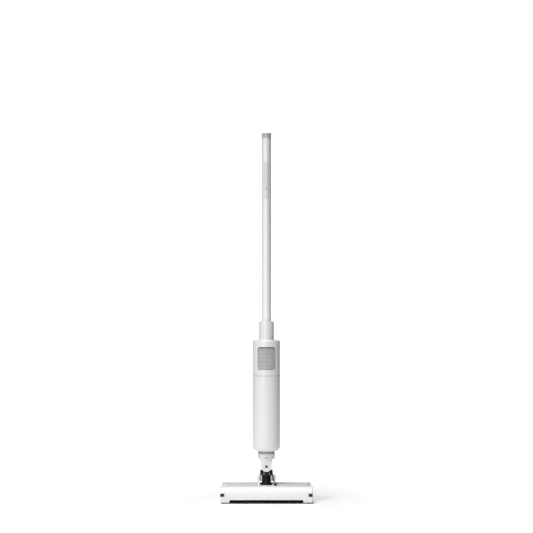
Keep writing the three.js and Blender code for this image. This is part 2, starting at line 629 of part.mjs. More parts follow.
// The black cross piece: side lugs on the tilt axis, and front and rear lugs on the swing axis above it.
function gimbal() {
  const parts = [ring(GIMBAL_RADIUS, GIMBAL_BORE, BAND_BOTTOM, BAND_TOP)];
  const sideLug = lugOutline(0, TILT_Z, LUG_ROUND, BAND_BOTTOM + 5);
  const upright = lugOutline(0, SWING_Z, UPRIGHT_ROUND, BAND_BOTTOM + 9);
  for (const side of [-1, 1]) {
    parts.push(alongX(sideLug, ...sided(side, GIMBAL_BORE, SIDE_LUG_OUT)));
    parts.push(alongY(upright, ...sided(side, GIMBAL_BORE, GIMBAL_BORE + 3)));
  }
  const reach = NECK_RING_RADIUS;
  const tiltHole = rod(TILT_PIN_RADIUS + GAP, -reach, reach, "x").translate(0, 0, TILT_Z);
  const swingHole = rod(SWING_PIN_RADIUS + GAP, -reach, reach, "y").translate(0, 0, SWING_Z);
  return cut(join(...parts), tiltHole, swingHole);
}

// A ribbed hose: its outside steps in and out once for each rib.
function hose(from, to, ribs, radius) {
  const inner = radius - HOSE_WALL - 1;
  const profile = [[inner, from]];
  const pitch = (to - from) / ribs;
  for (let i = 0; i < ribs; i++)
    profile.push([radius, from + (i + 0.35) * pitch], [radius - 1.6, from + (i + 0.8) * pitch]);
  profile.push([inner, to], [inner, from]);
  return turned(profile, 18);
}

// The white neck: two ears that hang outside the gimbal, a crown that spreads to the ring, and the spigot above.
function neckClevis() {
  const parts = [];
  const ear = lugOutline(0, SWING_Z, NECK_HALF_WIDTH, CROWN_BOTTOM + 1);
  for (const side of [-1, 1]) parts.push(alongY(ear, ...sided(side, EAR_IN, EAR_OUT), 12));
  const crown = new THREE.Shape();
  const spread = NECK_RING_Z - 5.4;
  crown.moveTo(-NECK_HALF_WIDTH, CROWN_BOTTOM);
  crown.lineTo(NECK_HALF_WIDTH, CROWN_BOTTOM);
  crown.lineTo(NECK_HALF_WIDTH, spread);
  crown.lineTo(NECK_RING_RADIUS, NECK_RING_Z + 0.2);
  crown.lineTo(-NECK_RING_RADIUS, NECK_RING_Z + 0.2);
  crown.lineTo(-NECK_HALF_WIDTH, spread);
  crown.closePath();
  const disc = rod(NECK_RING_RADIUS, CROWN_BOTTOM - 1, NECK_RING_Z + 1, "z", ROUND);
  parts.push(common(alongY(crown, -NECK_RING_RADIUS, NECK_RING_RADIUS), disc));
  const profile = [[0, NECK_RING_Z - BITE], [NECK_RING_RADIUS, NECK_RING_Z], [NECK_RING_RADIUS, NECK_TOP - 1.4]];
  profile.push([NECK_RING_RADIUS - 1.4, NECK_TOP], [SPIGOT_RADIUS, NECK_TOP]);
  profile.push([SPIGOT_RADIUS, NECK_TOP + SPIGOT_LENGTH], [0, NECK_TOP + SPIGOT_LENGTH]);
  parts.push(turned(profile));
  parts.push(rod(SPOUT_RADIUS, SPOUT_BOTTOM, CROWN_BOTTOM + 1, "z", 24));
  const reach = NECK_RING_RADIUS + 1;
  const button = block([-5.8, 5.8], [-reach, 2 - SPIGOT_RADIUS], [NECK_RING_Z + 1.6, NECK_RING_Z + 9.2]);
  return cut(
    join(...parts),
    rod(AIR_RADIUS, SPOUT_BOTTOM - 1, NECK_TOP + SPIGOT_LENGTH + 1, "z", 24),
    rod(SWING_PIN_RADIUS + GAP, -reach, reach, "y").translate(0, 0, SWING_Z),
    button,
  );
}

function swingPin(side) {
  const shank = rod(SWING_PIN_RADIUS, ...sided(side, GIMBAL_BORE + 0.2, EAR_OUT + GAP + BITE), "y");
  const square = block([-3.5, 3.5], sided(side, EAR_OUT + GAP, EAR_OUT + GAP + 1), [-3, 3]);
  return join(shank, square);
}

const NECK_BUTTON_Y = [-NECK_RING_RADIUS - 0.5, -NECK_RING_RADIUS + 2.5];

piece(stick, "gimbal", gimbal(), BLACK());
const HOSE_JOIN = BAND_BOTTOM + 7; // the lower and upper hose meet inside the gimbal's band
piece(stick, "hose_lower", hose(COVER_TOP_Z - 3 + GAP, HOSE_JOIN, 9, HOSE_RADIUS), BLACK());
piece(stick, "hose_upper", hose(HOSE_JOIN + GAP, SPOUT_BOTTOM - GAP, 6, HOSE_RADIUS - 0.4), BLACK());
piece(stick, "neck_clevis", neckClevis(), WHITE());
for (const [side, end] of [[-1, "front"], [1, "rear"]])
  piece(stick, `swing_pin_${end}`, swingPin(side), DARK_GREY(), [0, 0, SWING_Z]);
const neckButton = block([-5.5, 5.5], NECK_BUTTON_Y, [NECK_RING_Z + 1.9, NECK_RING_Z + 8.9]);
piece(stick, "neck_button", neckButton, WHITE());

// ---------------------------------------------------------------- dust cup

// The grey ring at the foot of the cup that takes the neck's spigot.
function cupSocket() {
  const profile = [[SPIGOT_RADIUS + 0.4, SOCKET_Z], [NECK_RING_RADIUS - 0.3, SOCKET_Z]];
  profile.push([NECK_RING_RADIUS - 0.3, CUP_Z - GAP], [SOCKET_RADIUS, CUP_Z - GAP], [SOCKET_RADIUS, CUP_Z + 9]);
  profile.push([SPIGOT_RADIUS + 0.4, CUP_Z + 9], [SPIGOT_RADIUS + 0.4, SOCKET_Z]);
  return turned(profile);
}

// The white cup: a rounded foot, a straight wall and an inside ledge that carries the filter.
function dustCup() {
  const foot = BODY_RADIUS - CUP_ROUND;
  const ledge = BODY_INSIDE - 3.3;
  const top = CUP_Z + CUP_HEIGHT;
  const outer = [0, 1, 2, 3, 4].map((i) => {
    const angle = (i * Math.PI) / 8;
    return [foot + CUP_ROUND * Math.sin(angle), CUP_Z + CUP_ROUND * (1 - Math.cos(angle))];
  });
  const inner = [[BODY_INSIDE, top], [BODY_INSIDE, FILTER_SEAT_Z], [ledge, FILTER_SEAT_Z]];
  inner.push([ledge, FILTER_SEAT_Z - 1.5], [BODY_INSIDE, FILTER_SEAT_Z - 4], [BODY_INSIDE, CUP_Z + CUP_ROUND + 1]);
  inner.push([BODY_INSIDE - 3.6, CUP_Z + 6], [foot, CUP_Z + 2.6], [SOCKET_RADIUS + GAP, CUP_Z + 2.6]);
  const start = [SOCKET_RADIUS + GAP, CUP_Z];
  return turned([start, ...outer, [BODY_RADIUS, top], ...inner, start], BODY_ROUND);
}

const DUCT_RADIUS = 13.5;
const DUCT_TOP = CUP_Z + 69;
const FLAP_HINGE = { y: DUCT_RADIUS + 2, z: DUCT_TOP + 2.2 };

// The inlet pipe inside the cup, with two ears that carry the flap's hinge.
function inletDuct() {
  const foot = CUP_Z + 9 + GAP;
  const wide = SOCKET_RADIUS - 0.2;
  const profile = [[wide - 2.8, foot], [wide, foot], [wide, foot + 12], [DUCT_RADIUS, foot + 20], [DUCT_RADIUS, DUCT_TOP]];
  profile.push([DUCT_RADIUS - 1.8, DUCT_TOP], [DUCT_RADIUS - 1.8, foot + 20], [wide - 2.8, foot + 12], [wide - 2.8, foot]);
  const ears = [-1, 1].map((side) =>
    block(sided(side, 7.4, 9.8), [9.2, FLAP_HINGE.y + 2.6], [DUCT_TOP - 12, FLAP_HINGE.z + 2.6]),
  );
  const bore = rod(DUCT_RADIUS - 1.8, DUCT_TOP - 14, DUCT_TOP + 6, "z", 24);
  const pin = rod(1.5, -11, 11, "x", 10).translate(0, FLAP_HINGE.y, FLAP_HINGE.z);
  return cut(join(turned(profile, 24), ...ears), bore, pin);
}

function inletFlap() {
  const lid = rod(DUCT_RADIUS - 0.4, DUCT_TOP + GAP, DUCT_TOP + 2, "z", 24);
  const arm = block([-6, 6], [8, FLAP_HINGE.y], [DUCT_TOP + GAP, DUCT_TOP + 2]);
  const barrel = rod(2, -7, 7, "x", 12).translate(0, FLAP_HINGE.y, FLAP_HINGE.z);
  const pin = rod(1.2, -9.6, 9.6, "x", 10).translate(0, FLAP_HINGE.y, FLAP_HINGE.z);
  const notch = sided(1, 7.1, 20);
  const clear = [-1, 1].map((side) => block(side > 0 ? notch : [-20, -7.1], [7.7, 20], [DUCT_TOP, DUCT_TOP + 2.05]));
  return join(cut(join(lid, arm), ...clear), barrel, pin);
}

const CAGE_RADIUS = 24;
const CAGE_DROP = 42;

// The filter's frame: a flange on the cup's ledge and a cage below it with tall windows.
function filterFrame() {
  const seat = FILTER_SEAT_Z + GAP;
  const bottom = seat - CAGE_DROP;
  const profile = [[0, bottom], [CAGE_RADIUS, bottom], [CAGE_RADIUS, seat], [BODY_INSIDE - GAP, seat]];
  profile.push([BODY_INSIDE - GAP, seat + 2.5], [CAGE_RADIUS - 2, seat + 2.5], [CAGE_RADIUS - 2, bottom + 2], [0, bottom + 2]);
  const windows = [];
  const count = 8;
  for (let i = 0; i < count; i++) {
    const opening = block([CAGE_RADIUS - 6, CAGE_RADIUS + 4], [-6, 6], [bottom + 5, seat - 4]);
    windows.push(opening.rotateZ((i / count) * 2 * Math.PI));
  }
  return cut(turned(profile), ...windows);
}

function filterPleats() {
  const outline = new THREE.Shape();
  const pleats = 20;
  for (let i = 0; i < pleats * 2; i++) {
    const radius = i % 2 ? CAGE_RADIUS - 2 - GAP : CAGE_RADIUS - 7;
    const angle = (i / (pleats * 2)) * 2 * Math.PI;
    outline[i ? "lineTo" : "moveTo"](radius * Math.cos(angle), radius * Math.sin(angle));
  }
  outline.closePath();
  const bore = new THREE.Path();
  bore.absarc(0, 0, CAGE_RADIUS - 10, 0, 2 * Math.PI, true);
  outline.holes.push(bore);
  const seat = FILTER_SEAT_Z + GAP;
  return alongZ(outline, seat - CAGE_DROP + 2 + GAP, seat, 10);
}

piece(stick, "cup_socket", cupSocket(), MID_GREY());
piece(stick, "dust_cup", dustCup(), WHITE());
piece(stick, "inlet_duct", inletDuct(), PALE_GREY());
piece(stick, "inlet_flap", inletFlap(), DARK_GREY());
piece(stick, "filter_frame", filterFrame(), DARK_GREY());
piece(stick, "filter_pleats", filterPleats(), PAPER());

// ---------------------------------------------------------------- motor unit

const GRILLE_SPREAD = spreadOf(GRILLE_WIDTH / 2, BODY_RADIUS);
const GRILLE_Z = [SEAM_Z + GRILLE_RISE, SEAM_Z + GRILLE_RISE + GRILLE_HEIGHT];
const LATCH_Z = SEAM_Z + 18; // the cup's latch, at the back
const LATCH_HALF = { x: 8, z: 6 };
const POLE_LATCH_Z = HOUSING_TOP + 0.45 * COLLAR_HEIGHT;
const POLE_LATCH_HALF = { x: 5.5, z: 7 };
const SOCKET_PORT_Z = HOUSING_Z + 0.62 * HOUSING_HEIGHT;

// The motor unit's outer shell: a tube with a softened shoulder that fillets into the pole's collar.
function upperHousing() {
  const bore = POLE_RADIUS + GAP;
  const fillet = 5;
  const outer = [[BODY_RADIUS, HOUSING_Z], [BODY_RADIUS, HOUSING_TOP - 1.6], [BODY_RADIUS - 1.6, HOUSING_TOP]];
  outer.push([COLLAR_RADIUS + fillet, HOUSING_TOP + 0.8]);
  for (const turn of [0.5, 1]) {
    const angle = (turn * Math.PI) / 2;
    const r = COLLAR_RADIUS + fillet * (1 - Math.sin(angle));
    outer.push([r, HOUSING_TOP + 0.8 + fillet * (1 - Math.cos(angle))]);
  }
  outer.push([COLLAR_RADIUS, COLLAR_TOP - 2], [COLLAR_RADIUS - 2, COLLAR_TOP], [bore, COLLAR_TOP]);
  const stop = POLE_Z - GAP;
  const inner = [[bore, stop], [bore - 3, stop], [bore - 3, HOUSING_TOP - BODY_WALL]];
  inner.push([BODY_INSIDE, HOUSING_TOP - BODY_WALL], [BODY_INSIDE, HOUSING_Z], [BODY_RADIUS, HOUSING_Z]);
  const shell = turned([...outer, ...inner], BODY_ROUND);
  const pocket = block([-10.5, 10.5], [BODY_RADIUS - 9.5, BODY_RADIUS - 1], [LATCH_Z - 8.2, LATCH_Z + 8.2]);
  const window = frontWall(BODY_RADIUS + 3, BODY_RADIUS - 6, GRILLE_SPREAD, ...GRILLE_Z);
  const latchHole = block(
    [-LATCH_HALF.x - GAP, LATCH_HALF.x + GAP],
    [BODY_RADIUS - 8, BODY_RADIUS + 1],
    [LATCH_Z - LATCH_HALF.z - GAP, LATCH_Z + LATCH_HALF.z + GAP],
  );
  const poleLatchHole = block(
    [-POLE_LATCH_HALF.x - GAP, POLE_LATCH_HALF.x + GAP],
    [0, COLLAR_RADIUS + 1],
    [POLE_LATCH_Z - POLE_LATCH_HALF.z - GAP, POLE_LATCH_Z + POLE_LATCH_HALF.z + GAP],
  );
  const port = block([-7.3, 7.3], [BODY_RADIUS - 6, BODY_RADIUS + 1], [SOCKET_PORT_Z - 5.3, SOCKET_PORT_Z + 5.3]);
  return cut(join(shell, pocket), window, latchHole, poleLatchHole, port);
}

// The exhaust grille, a curved plate with three long slots that fits in the housing's window.
function exhaustGrille() {
  const [z0, z1] = [GRILLE_Z[0] + GAP, GRILLE_Z[1] - GAP];
  const plate = frontWall(BODY_RADIUS - 0.5, BODY_RADIUS - 2, GRILLE_SPREAD - 0.012, z0, z1);
  const half = GRILLE_WIDTH / 2 - 4;
  const pitch = (z1 - z0) / 3;
  const slots = [0, 1, 2].map((i) =>
    block([-half, half], [-BODY_RADIUS - 1, 0], [z0 + pitch * i + 4, z0 + pitch * (i + 1) - 4]),
  );
  return cut(plate, ...slots);
}

// The motor pod hangs below the seam, and its flange and lip close the cup.
function motorPod() {
  const flange = BODY_INSIDE - GAP;
  const top = SEAM_Z + 5;
  const profile = [[AIR_RADIUS, POD_BOTTOM], [POD_RADIUS - 4, POD_BOTTOM], [POD_RADIUS, POD_BOTTOM + 4], [POD_RADIUS, SEAM_Z + 1]];
  profile.push([flange - 2, SEAM_Z + 1], [flange - 2, SEAM_Z - 6], [flange, SEAM_Z - 6], [flange, top]);
  profile.push([POD_RADIUS - 2, top], [POD_RADIUS - 2, SEAM_Z - 22], [MOTOR_RADIUS + GAP, SEAM_Z - 22]);
  profile.push([MOTOR_RADIUS + GAP, SEAM_Z - 27], [POD_RADIUS - 2, SEAM_Z - 29], [POD_RADIUS - 2, POD_BOTTOM + 2]);
  profile.push([AIR_RADIUS, POD_BOTTOM + 2], [AIR_RADIUS, POD_BOTTOM]);
  return turned(profile);
}

function suctionMotor() {
  const base = SEAM_Z - 30;
  const top = SEAM_Z + 2;
  const profile = [[3, base], [MOTOR_RADIUS - 4, base], [MOTOR_RADIUS - 4, base + 3], [MOTOR_RADIUS, base + 3]];
  profile.push([MOTOR_RADIUS, top - 6], [MOTOR_RADIUS - 5, top], [3, top], [3, base]);
  return turned(profile, 24);
}

function impeller() {
  const base = POD_BOTTOM + 4;
  const radius = MOTOR_RADIUS - 1.5;
  const parts = [rod(radius, base + 8, base + 9.6, "z", 24), rod(5, base + 1, base + 8.5, "z", 12)];
  parts.push(rod(2.4, base + 8, SEAM_Z - 6, "z", 12));
  const blades = 9;
  for (let i = 0; i < blades; i++) {
    const blade = block([4, radius - 0.5], [-0.6, 0.6], [base + 2.5, base + 8.5]).rotateZ((i / blades) * 2 * Math.PI);
    parts.push(blade);
  }
  return join(...parts);
}

const HOLDER_Z = SEAM_Z + 5 + GAP;
const BATTERY_Z = HOLDER_Z + 3 + GAP;
const BOARD_Z = BATTERY_Z + CELL_LENGTH + 4;

// The tray the battery stands on, with three posts up to the board.
function batteryHolder() {
  const plate = ring(BODY_INSIDE - 5.4, 9, HOLDER_Z, HOLDER_Z + 3);
  const posts = [0, 1, 2].map((i) => {
    const angle = -Math.PI / 2 + (i * 2 * Math.PI) / 3;
    const post = rod(3, HOLDER_Z + 2, BOARD_Z - GAP, "z", 8);
    return post.translate((BODY_INSIDE - 9.4) * Math.cos(angle), (BODY_INSIDE - 9.4) * Math.sin(angle), 0);
  });
  return join(plate, ...posts);
}

// Three cells in one wrapped pack.
function batteryPack() {
  const from = BATTERY_Z;
  const reach = (2 * CELL_RADIUS) / Math.sqrt(3);
  const cells = [0, 1, 2].map((i) => {
    const angle = Math.PI / 2 + (i * 2 * Math.PI) / 3;
    const cell = rod(CELL_RADIUS + 0.2, from, from + CELL_LENGTH, "z", 20);
    return cell.translate(reach * Math.cos(angle), reach * Math.sin(angle), 0);
  });
  return join(...cells, rod(CELL_RADIUS, from, from + CELL_LENGTH, "z", 12));
}

function mainBoard() {
  const z = BOARD_Z;
  const disc = rod(BODY_INSIDE - 4.9, z, z + 1.6, "z", 24);
  const chips = [
    block([-14, -2], [4, 14], [z + 1, z + 4.2]),
    block([5, 13], [-12, -3], [z + 1, z + 5.6]),
    block([-9, -1], [-16, -10], [z + 1, z + 3.4]),
  ];
  return cut(join(disc, ...chips), rod(2.5, z - 1, z + 7, "z", 10));
}

function chargeSocket() {
  const body = block([-7, 7], [BODY_RADIUS - 8, BODY_RADIUS - 0.6], [SOCKET_PORT_Z - 5, SOCKET_PORT_Z + 5]);
  return cut(body, rod(3.6, BODY_RADIUS - 6, BODY_RADIUS + 1, "y", 14).translate(0, 0, SOCKET_PORT_Z));
}

const LATCH_Y = [BODY_RADIUS - 4.2, BODY_RADIUS + 0.8];

piece(stick, "upper_housing", upperHousing(), WHITE());
piece(stick, "exhaust_grille", exhaustGrille(), PALE_GREY());
const filterZ = [GRILLE_Z[0] - 2, GRILLE_Z[1] + 2];
const exhaustFilter = frontWall(BODY_INSIDE - 0.6, BODY_INSIDE - 4, GRILLE_SPREAD + 0.05, ...filterZ);
piece(stick, "exhaust_filter", exhaustFilter, FOAM());
piece(stick, "motor_pod", motorPod(), PALE_GREY());
piece(stick, "suction_motor", suctionMotor(), STEEL());
piece(stick, "impeller", impeller(), DARK_GREY());
piece(stick, "battery_holder", batteryHolder(), DARK_GREY());
piece(stick, "battery_pack", batteryPack(), WRAP());
piece(stick, "main_board", mainBoard(), BOARD());
piece(stick, "charge_socket", chargeSocket(), DARK_GREY());
const latchX = [-LATCH_HALF.x, LATCH_HALF.x];
piece(stick, "cup_latch", block(latchX, LATCH_Y, [-LATCH_HALF.z, LATCH_HALF.z]), WHITE(), [0, 0, LATCH_Z]);
const poleLatch = block(
  [-POLE_LATCH_HALF.x, POLE_LATCH_HALF.x],
  [POLE_RADIUS + 2.2, COLLAR_RADIUS + 0.7],
  [-POLE_LATCH_HALF.z, POLE_LATCH_HALF.z],
);
piece(stick, "pole_latch", poleLatch, WHITE(), [0, 0, POLE_LATCH_Z]);

// ---------------------------------------------------------------- pole

const pole = new THREE.Group();
stick.add(pole);
const POWER_Z = PANEL_TOP - 22;
const MODE_Z = PANEL_TOP - 50;
const LENS_Z = PANEL_TOP - 72;
const BUTTON_HALF = { x: 4, z: 9 };
const WIRE_RADIUS = 1.6;

const hole = (half, z) => block([-half.x - 0.25, half.x + 0.25], [-POLE_RADIUS - 2, 0], [z - half.z - 0.25, z + half.z + 0.25]);

function poleTube() {
  const tube = ring(POLE_RADIUS, POLE_RADIUS - POLE_WALL, POLE_Z, POLE_TOP);
  const opening = block(
    [-PANEL_HALF_WIDTH - GAP, PANEL_HALF_WIDTH + GAP],
    [-POLE_RADIUS - 1, 0],
    [PANEL_BOTTOM - GAP, PANEL_TOP + GAP],
  );
  return cut(tube, opening);
}

// The cap on the pole's end: a plug inside the tube and a head that flares to a thin rim.
function poleCap() {
  const plug = POLE_RADIUS - POLE_WALL - GAP;
  const foot = POLE_TOP + GAP;
  const top = foot + POLE_CAP_HEIGHT;
  const profile = [[0, foot - 14], [plug, foot - 14], [plug, foot], [POLE_RADIUS + 0.4, foot], [POLE_RADIUS + 0.4, top - 5]];
  profile.push([POLE_RADIUS + 0.9, top - 3], [POLE_RADIUS + 0.9, top - 0.8], [POLE_RADIUS, top], [0, top]);
  return turned(profile);
}

const LENS_HALF = { x: 1.2, z: 5 };

function controlPanel() {
  const half = PANEL_HALF_WIDTH;
  const spread = spreadOf(half + 1, POLE_RADIUS);
  const strip = frontWall(POLE_RADIUS + 0.15, POLE_RADIUS - POLE_WALL - 1.4, spread, PANEL_BOTTOM, PANEL_TOP, 4);
  const sides = block([-half, half], [-POLE_RADIUS - 1, 0], [PANEL_BOTTOM, PANEL_TOP]);
  return cut(common(strip, sides), hole(BUTTON_HALF, POWER_Z), hole(BUTTON_HALF, MODE_Z), hole(LENS_HALF, LENS_Z));
}

function panelButton(half, proud) {
  const spread = spreadOf(half.x + 1, POLE_RADIUS);
  const body = frontWall(POLE_RADIUS + 0.15 + proud, POLE_RADIUS - POLE_WALL, spread, -half.z, half.z, 3);
  return common(body, block([-half.x, half.x], [-POLE_RADIUS - 2, 0], [-half.z, half.z]));
}

piece(pole, "pole_tube", poleTube(), WHITE_PAINT());
piece(pole, "pole_cap", poleCap(), PALE_GREY());
piece(pole, "control_panel", controlPanel(), WHITE());
piece(pole, "power_button", panelButton(BUTTON_HALF, 0.4), WHITE(), [0, 0, POWER_Z]);
piece(pole, "mode_button", panelButton(BUTTON_HALF, 0.4), WHITE(), [0, 0, MODE_Z]);
piece(pole, "status_lens", panelButton(LENS_HALF, 0), LENS(), [0, 0, LENS_Z]);
const wireY = -(POLE_RADIUS - POLE_WALL - 1.4 - GAP - WIRE_RADIUS);
piece(pole, "pole_wire", rod(WIRE_RADIUS, POLE_Z + 2, MODE_Z, "z", 8), RUBBER(), [0, wireY, 0]);

export default vacuum;
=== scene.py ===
# %% [markdown]
# # A cordless stick vacuum, piece by piece
#
# This lesson dresses a machine whose working parts were drawn elsewhere. Those parts arrive as a frame of
# bodies and joints. Each cell below builds one visible piece with mesh operators, gives it a finish made
# of nodes, and fastens it to the body it moves with. Nothing is painted by hand, so every finish can be
# changed with a number.

from math import asin, cos, pi, radians, sin

import bmesh
import bpy
from mathutils import Matrix, Vector


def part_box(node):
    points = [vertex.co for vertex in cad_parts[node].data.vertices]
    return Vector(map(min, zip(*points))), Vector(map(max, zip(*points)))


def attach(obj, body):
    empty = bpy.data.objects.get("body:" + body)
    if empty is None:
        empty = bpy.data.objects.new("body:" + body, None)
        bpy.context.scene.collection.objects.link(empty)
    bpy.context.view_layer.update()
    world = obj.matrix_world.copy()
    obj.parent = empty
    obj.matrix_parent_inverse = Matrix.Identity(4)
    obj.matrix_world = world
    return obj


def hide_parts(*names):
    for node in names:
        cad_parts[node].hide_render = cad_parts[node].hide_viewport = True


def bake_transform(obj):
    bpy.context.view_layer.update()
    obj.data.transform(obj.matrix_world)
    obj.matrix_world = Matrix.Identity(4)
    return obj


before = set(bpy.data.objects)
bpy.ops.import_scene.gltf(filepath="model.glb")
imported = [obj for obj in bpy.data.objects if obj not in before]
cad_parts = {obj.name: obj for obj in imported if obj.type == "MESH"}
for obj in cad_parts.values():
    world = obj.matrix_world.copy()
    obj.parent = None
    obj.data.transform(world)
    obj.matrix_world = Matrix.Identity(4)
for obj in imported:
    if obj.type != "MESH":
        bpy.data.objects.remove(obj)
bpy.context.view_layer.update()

# %% [markdown]
# Shapes are drawn in millimetres, because a maker thinks of this machine in millimetres, and become
# metres when a piece is finished. A node's box from the frame says where each piece goes, so a change to
# the machine carries over to its looks.

# %% Units and places
MM = 0.001
MERGE = 0.0005  # points closer than this, in millimetres, become one


def box_of(node):
    """The low and high corners of a node, in millimetres."""
    low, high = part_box(node)
    return low / MM, high / MM


tube_low, tube_high = box_of("pole_tube")
STICK_Y = (tube_low.y + tube_high.y) / 2
print("the pole's axis stands at y =", round(STICK_Y, 1), "mm")

# %% [markdown]
# ## Tools for turned, bent and moulded shapes
#
# Most of this machine is round, so its pieces are turned: a line of points is spun about an upright axis,
# as on a lathe. Each point may carry a radius, and the ring it leaves is rounded with a bevel afterwards,
# which is the easiest way to keep a corner exact and still soft.

# %% Turning
ROUND_STEPS = 96


def moved(bm, by):
    bmesh.ops.translate(bm, verts=bm.verts, vec=by)
    return bm


def merged(bm):
    """Joins points that meet and turns every face outwards."""
    bmesh.ops.remove_doubles(bm, verts=bm.verts, dist=MERGE)
    bmesh.ops.recalc_face_normals(bm, faces=bm.faces)
    return bm


def edges_at(bm, test):
    """The edges whose two ends both pass the test."""
    return [edge for edge in bm.edges if all(test(vertex.co) for vertex in edge.verts)]


def round_edges(bm, edges, radius, segments=5):
    if edges:
        bmesh.ops.bevel(
            bm,
            geom=edges,
            offset=radius,
            offset_type="OFFSET",
            segments=segments,
            profile=0.5,
            affect="EDGES",
            material=-1,
            clamp_overlap=True,
        )


def turned(profile, closed=False, steps=ROUND_STEPS, centre=None):
    """Spins (radius, height) or (radius, height, rounding) points about an upright axis."""
    bm = bmesh.new()
    line = [bm.verts.new((point[0], 0, point[1])) for point in profile]
    ends = line[1:] + line[:1] if closed else line[1:]
    edges = [bm.edges.new(pair) for pair in zip(line, ends)]
    bmesh.ops.spin(
        bm, geom=line + edges, cent=(0, 0, 0), axis=(0, 0, 1), angle=2 * pi, steps=steps, use_merge=True
    )
    merged(bm)
    for radius, height, *rounding in profile:
        if rounding:

            def on_ring(co):
                return abs(co.z - height) < 0.001 and abs(co.xy.length - radius) < 0.01

            round_edges(bm, edges_at(bm, on_ring), rounding[0], 4)
    x, y = (0, STICK_Y) if centre is None else centre
    return moved(bm, (x, y, 0))


def laid_along(bm, axis, through):
    """Lays a shape spun about the upright axis at the origin along x or y, through a point."""
    turn = Matrix.Rotation(pi / 2, 3, "Y") if axis == "x" else Matrix.Rotation(-pi / 2, 3, "X")
    bmesh.ops.rotate(bm, verts=bm.verts, cent=(0, 0, 0), matrix=turn)
    return moved(bm, through)


def rod(radius, low_z, high_z, **settings):
    return turned([(0, low_z), (radius, low_z), (radius, high_z), (0, high_z)], **settings)


print("turning uses", ROUND_STEPS, "steps to a full round")

# %% [markdown]
# Moulded pieces start as a block. A large bevel on the right edges turns a block into a lug with a round
# end or a cover that rolls down at the back, and a small one on every edge gives the softness of moulded
# plastic.

# %% Blocks


def block(low, high):
    bm = bmesh.new()
    bmesh.ops.create_cube(bm, size=1)
    low, high = Vector(low), Vector(high)
    bmesh.ops.scale(bm, verts=bm.verts, vec=high - low)
    return moved(bm, (low + high) / 2)


def all_of(bm):
    return bm.verts[:] + bm.edges[:] + bm.faces[:]


def corners_in(geometry):
    return [item for item in geometry if isinstance(item, bmesh.types.BMVert)]


def sliced(bm, point, normal, clear_outer=False):
    """Cuts through a shape with a plane, can drop what lies beyond it, and returns what lies on the cut."""
    return bmesh.ops.bisect_plane(
        bm, geom=all_of(bm), plane_co=point, plane_no=normal, clear_outer=clear_outer, dist=MERGE
    )["geom_cut"]


def edges_along(bm, axis, test=lambda middle: True):
    """The edges that run along an axis (0, 1 or 2) and whose middle passes the test."""
    found = []
    for edge in bm.edges:
        a, b = (vertex.co for vertex in edge.verts)
        along = (b - a).normalized()
        if abs(abs(along[axis]) - 1) < 0.001 and test((a + b) / 2):
            found.append(edge)
    return found


def lug(low, high, across, up=True, segments=12):
    """A block whose top, or foot, is fully round. The round runs across axis 0 or 1."""
    bm = block(low, high)
    radius = (high[across] - low[across]) / 2 - 0.02
    end = high[2] if up else low[2]
    thickness_axis = 1 - across
    round_edges(bm, edges_along(bm, thickness_axis, lambda m: abs(m.z - end) < 0.01), radius, segments)
    return bm


print("a block has", len(block((0, 0, 0), (1, 1, 1)).edges), "edges to soften")

# %% [markdown]
# Holes and joined shapes come from booleans, which need whole objects. This helper makes two short-lived
# objects, lets the Boolean modifier do its work, and hands back the result as a mesh that can be edited
# further.

# %% Joining and cutting


def mesh_of(bm, name):
    """Writes a bmesh into a new mesh, and frees it."""
    mesh = bpy.data.meshes.new(name)
    bm.to_mesh(mesh)
    bm.free()
    return mesh


def shown(name, data):
    """A new object with this data, linked into the scene."""
    thing = bpy.data.objects.new(name, data)
    bpy.context.scene.collection.objects.link(thing)
    return thing


def boolean(base, tools, operation):
    for tool_shape in tools:
        body = shown("work", mesh_of(base, "work"))
        tool = shown("tool", mesh_of(tool_shape, "tool"))
        step = body.modifiers.new("step", "BOOLEAN")
        step.operation = operation
        step.solver = "EXACT"
        step.object = tool
        bpy.context.view_layer.update()
        evaluated = body.evaluated_get(bpy.context.evaluated_depsgraph_get())
        base = bmesh.new()
        base.from_mesh(evaluated.to_mesh())
        evaluated.to_mesh_clear()
        for thing in (body, tool):
            mesh = thing.data
            bpy.data.objects.remove(thing)
            bpy.data.meshes.remove(mesh)
    bmesh.ops.remove_doubles(base, verts=base.verts, dist=MERGE)
    return base


def cut(base, *tools):
    return boolean(base, tools, "DIFFERENCE")


def joined(base, *tools):
    return boolean(base, tools, "UNION")


def kept_inside(base, *tools):
    return boolean(base, tools, "INTERSECT")


print("joining and cutting are ready")

# %% [markdown]
# The last helpers finish a piece. They scale the shape to metres, shade it smooth except at real corners,
# add a fine bevel so that every corner catches a thread of light, and let it ride on its body in place of
# the plain working parts it stands for. Its finish is looked up by name in a table that the next cells
# fill.

# %% Finishing a piece
made = []


def dressed(bm, name, look, crease):
    """A shape as an object in metres, smooth except at real corners, with a finish from the table."""
    bmesh.ops.scale(bm, verts=bm.verts, vec=(MM, MM, MM))
    bmesh.ops.recalc_face_normals(bm, faces=bm.faces)
    mesh = mesh_of(bm, name)
    mesh.shade_smooth()
    mesh.set_sharp_from_angle(angle=radians(crease))
    mesh.materials.append(finishes[look])
    made.append(name)
    return shown(name, mesh)


def finish(bm, name, body, slot, hides=(), soften=0.25, segments=2, crease=35):
    """`slot` names the finish in the table. `soften` is the width of the fine bevel."""
    piece = dressed(bm, name, slot, crease)
    if soften:
        edge = piece.modifiers.new("softened corners", "BEVEL")
        edge.width = soften * MM
        edge.segments = segments
        edge.limit_method = "ANGLE"
        edge.angle_limit = radians(crease)
        edge.harden_normals = True
    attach(piece, body)
    if hides:
        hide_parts(*hides)
    print(f"{name}: {len(piece.data.polygons)} faces on {body}")


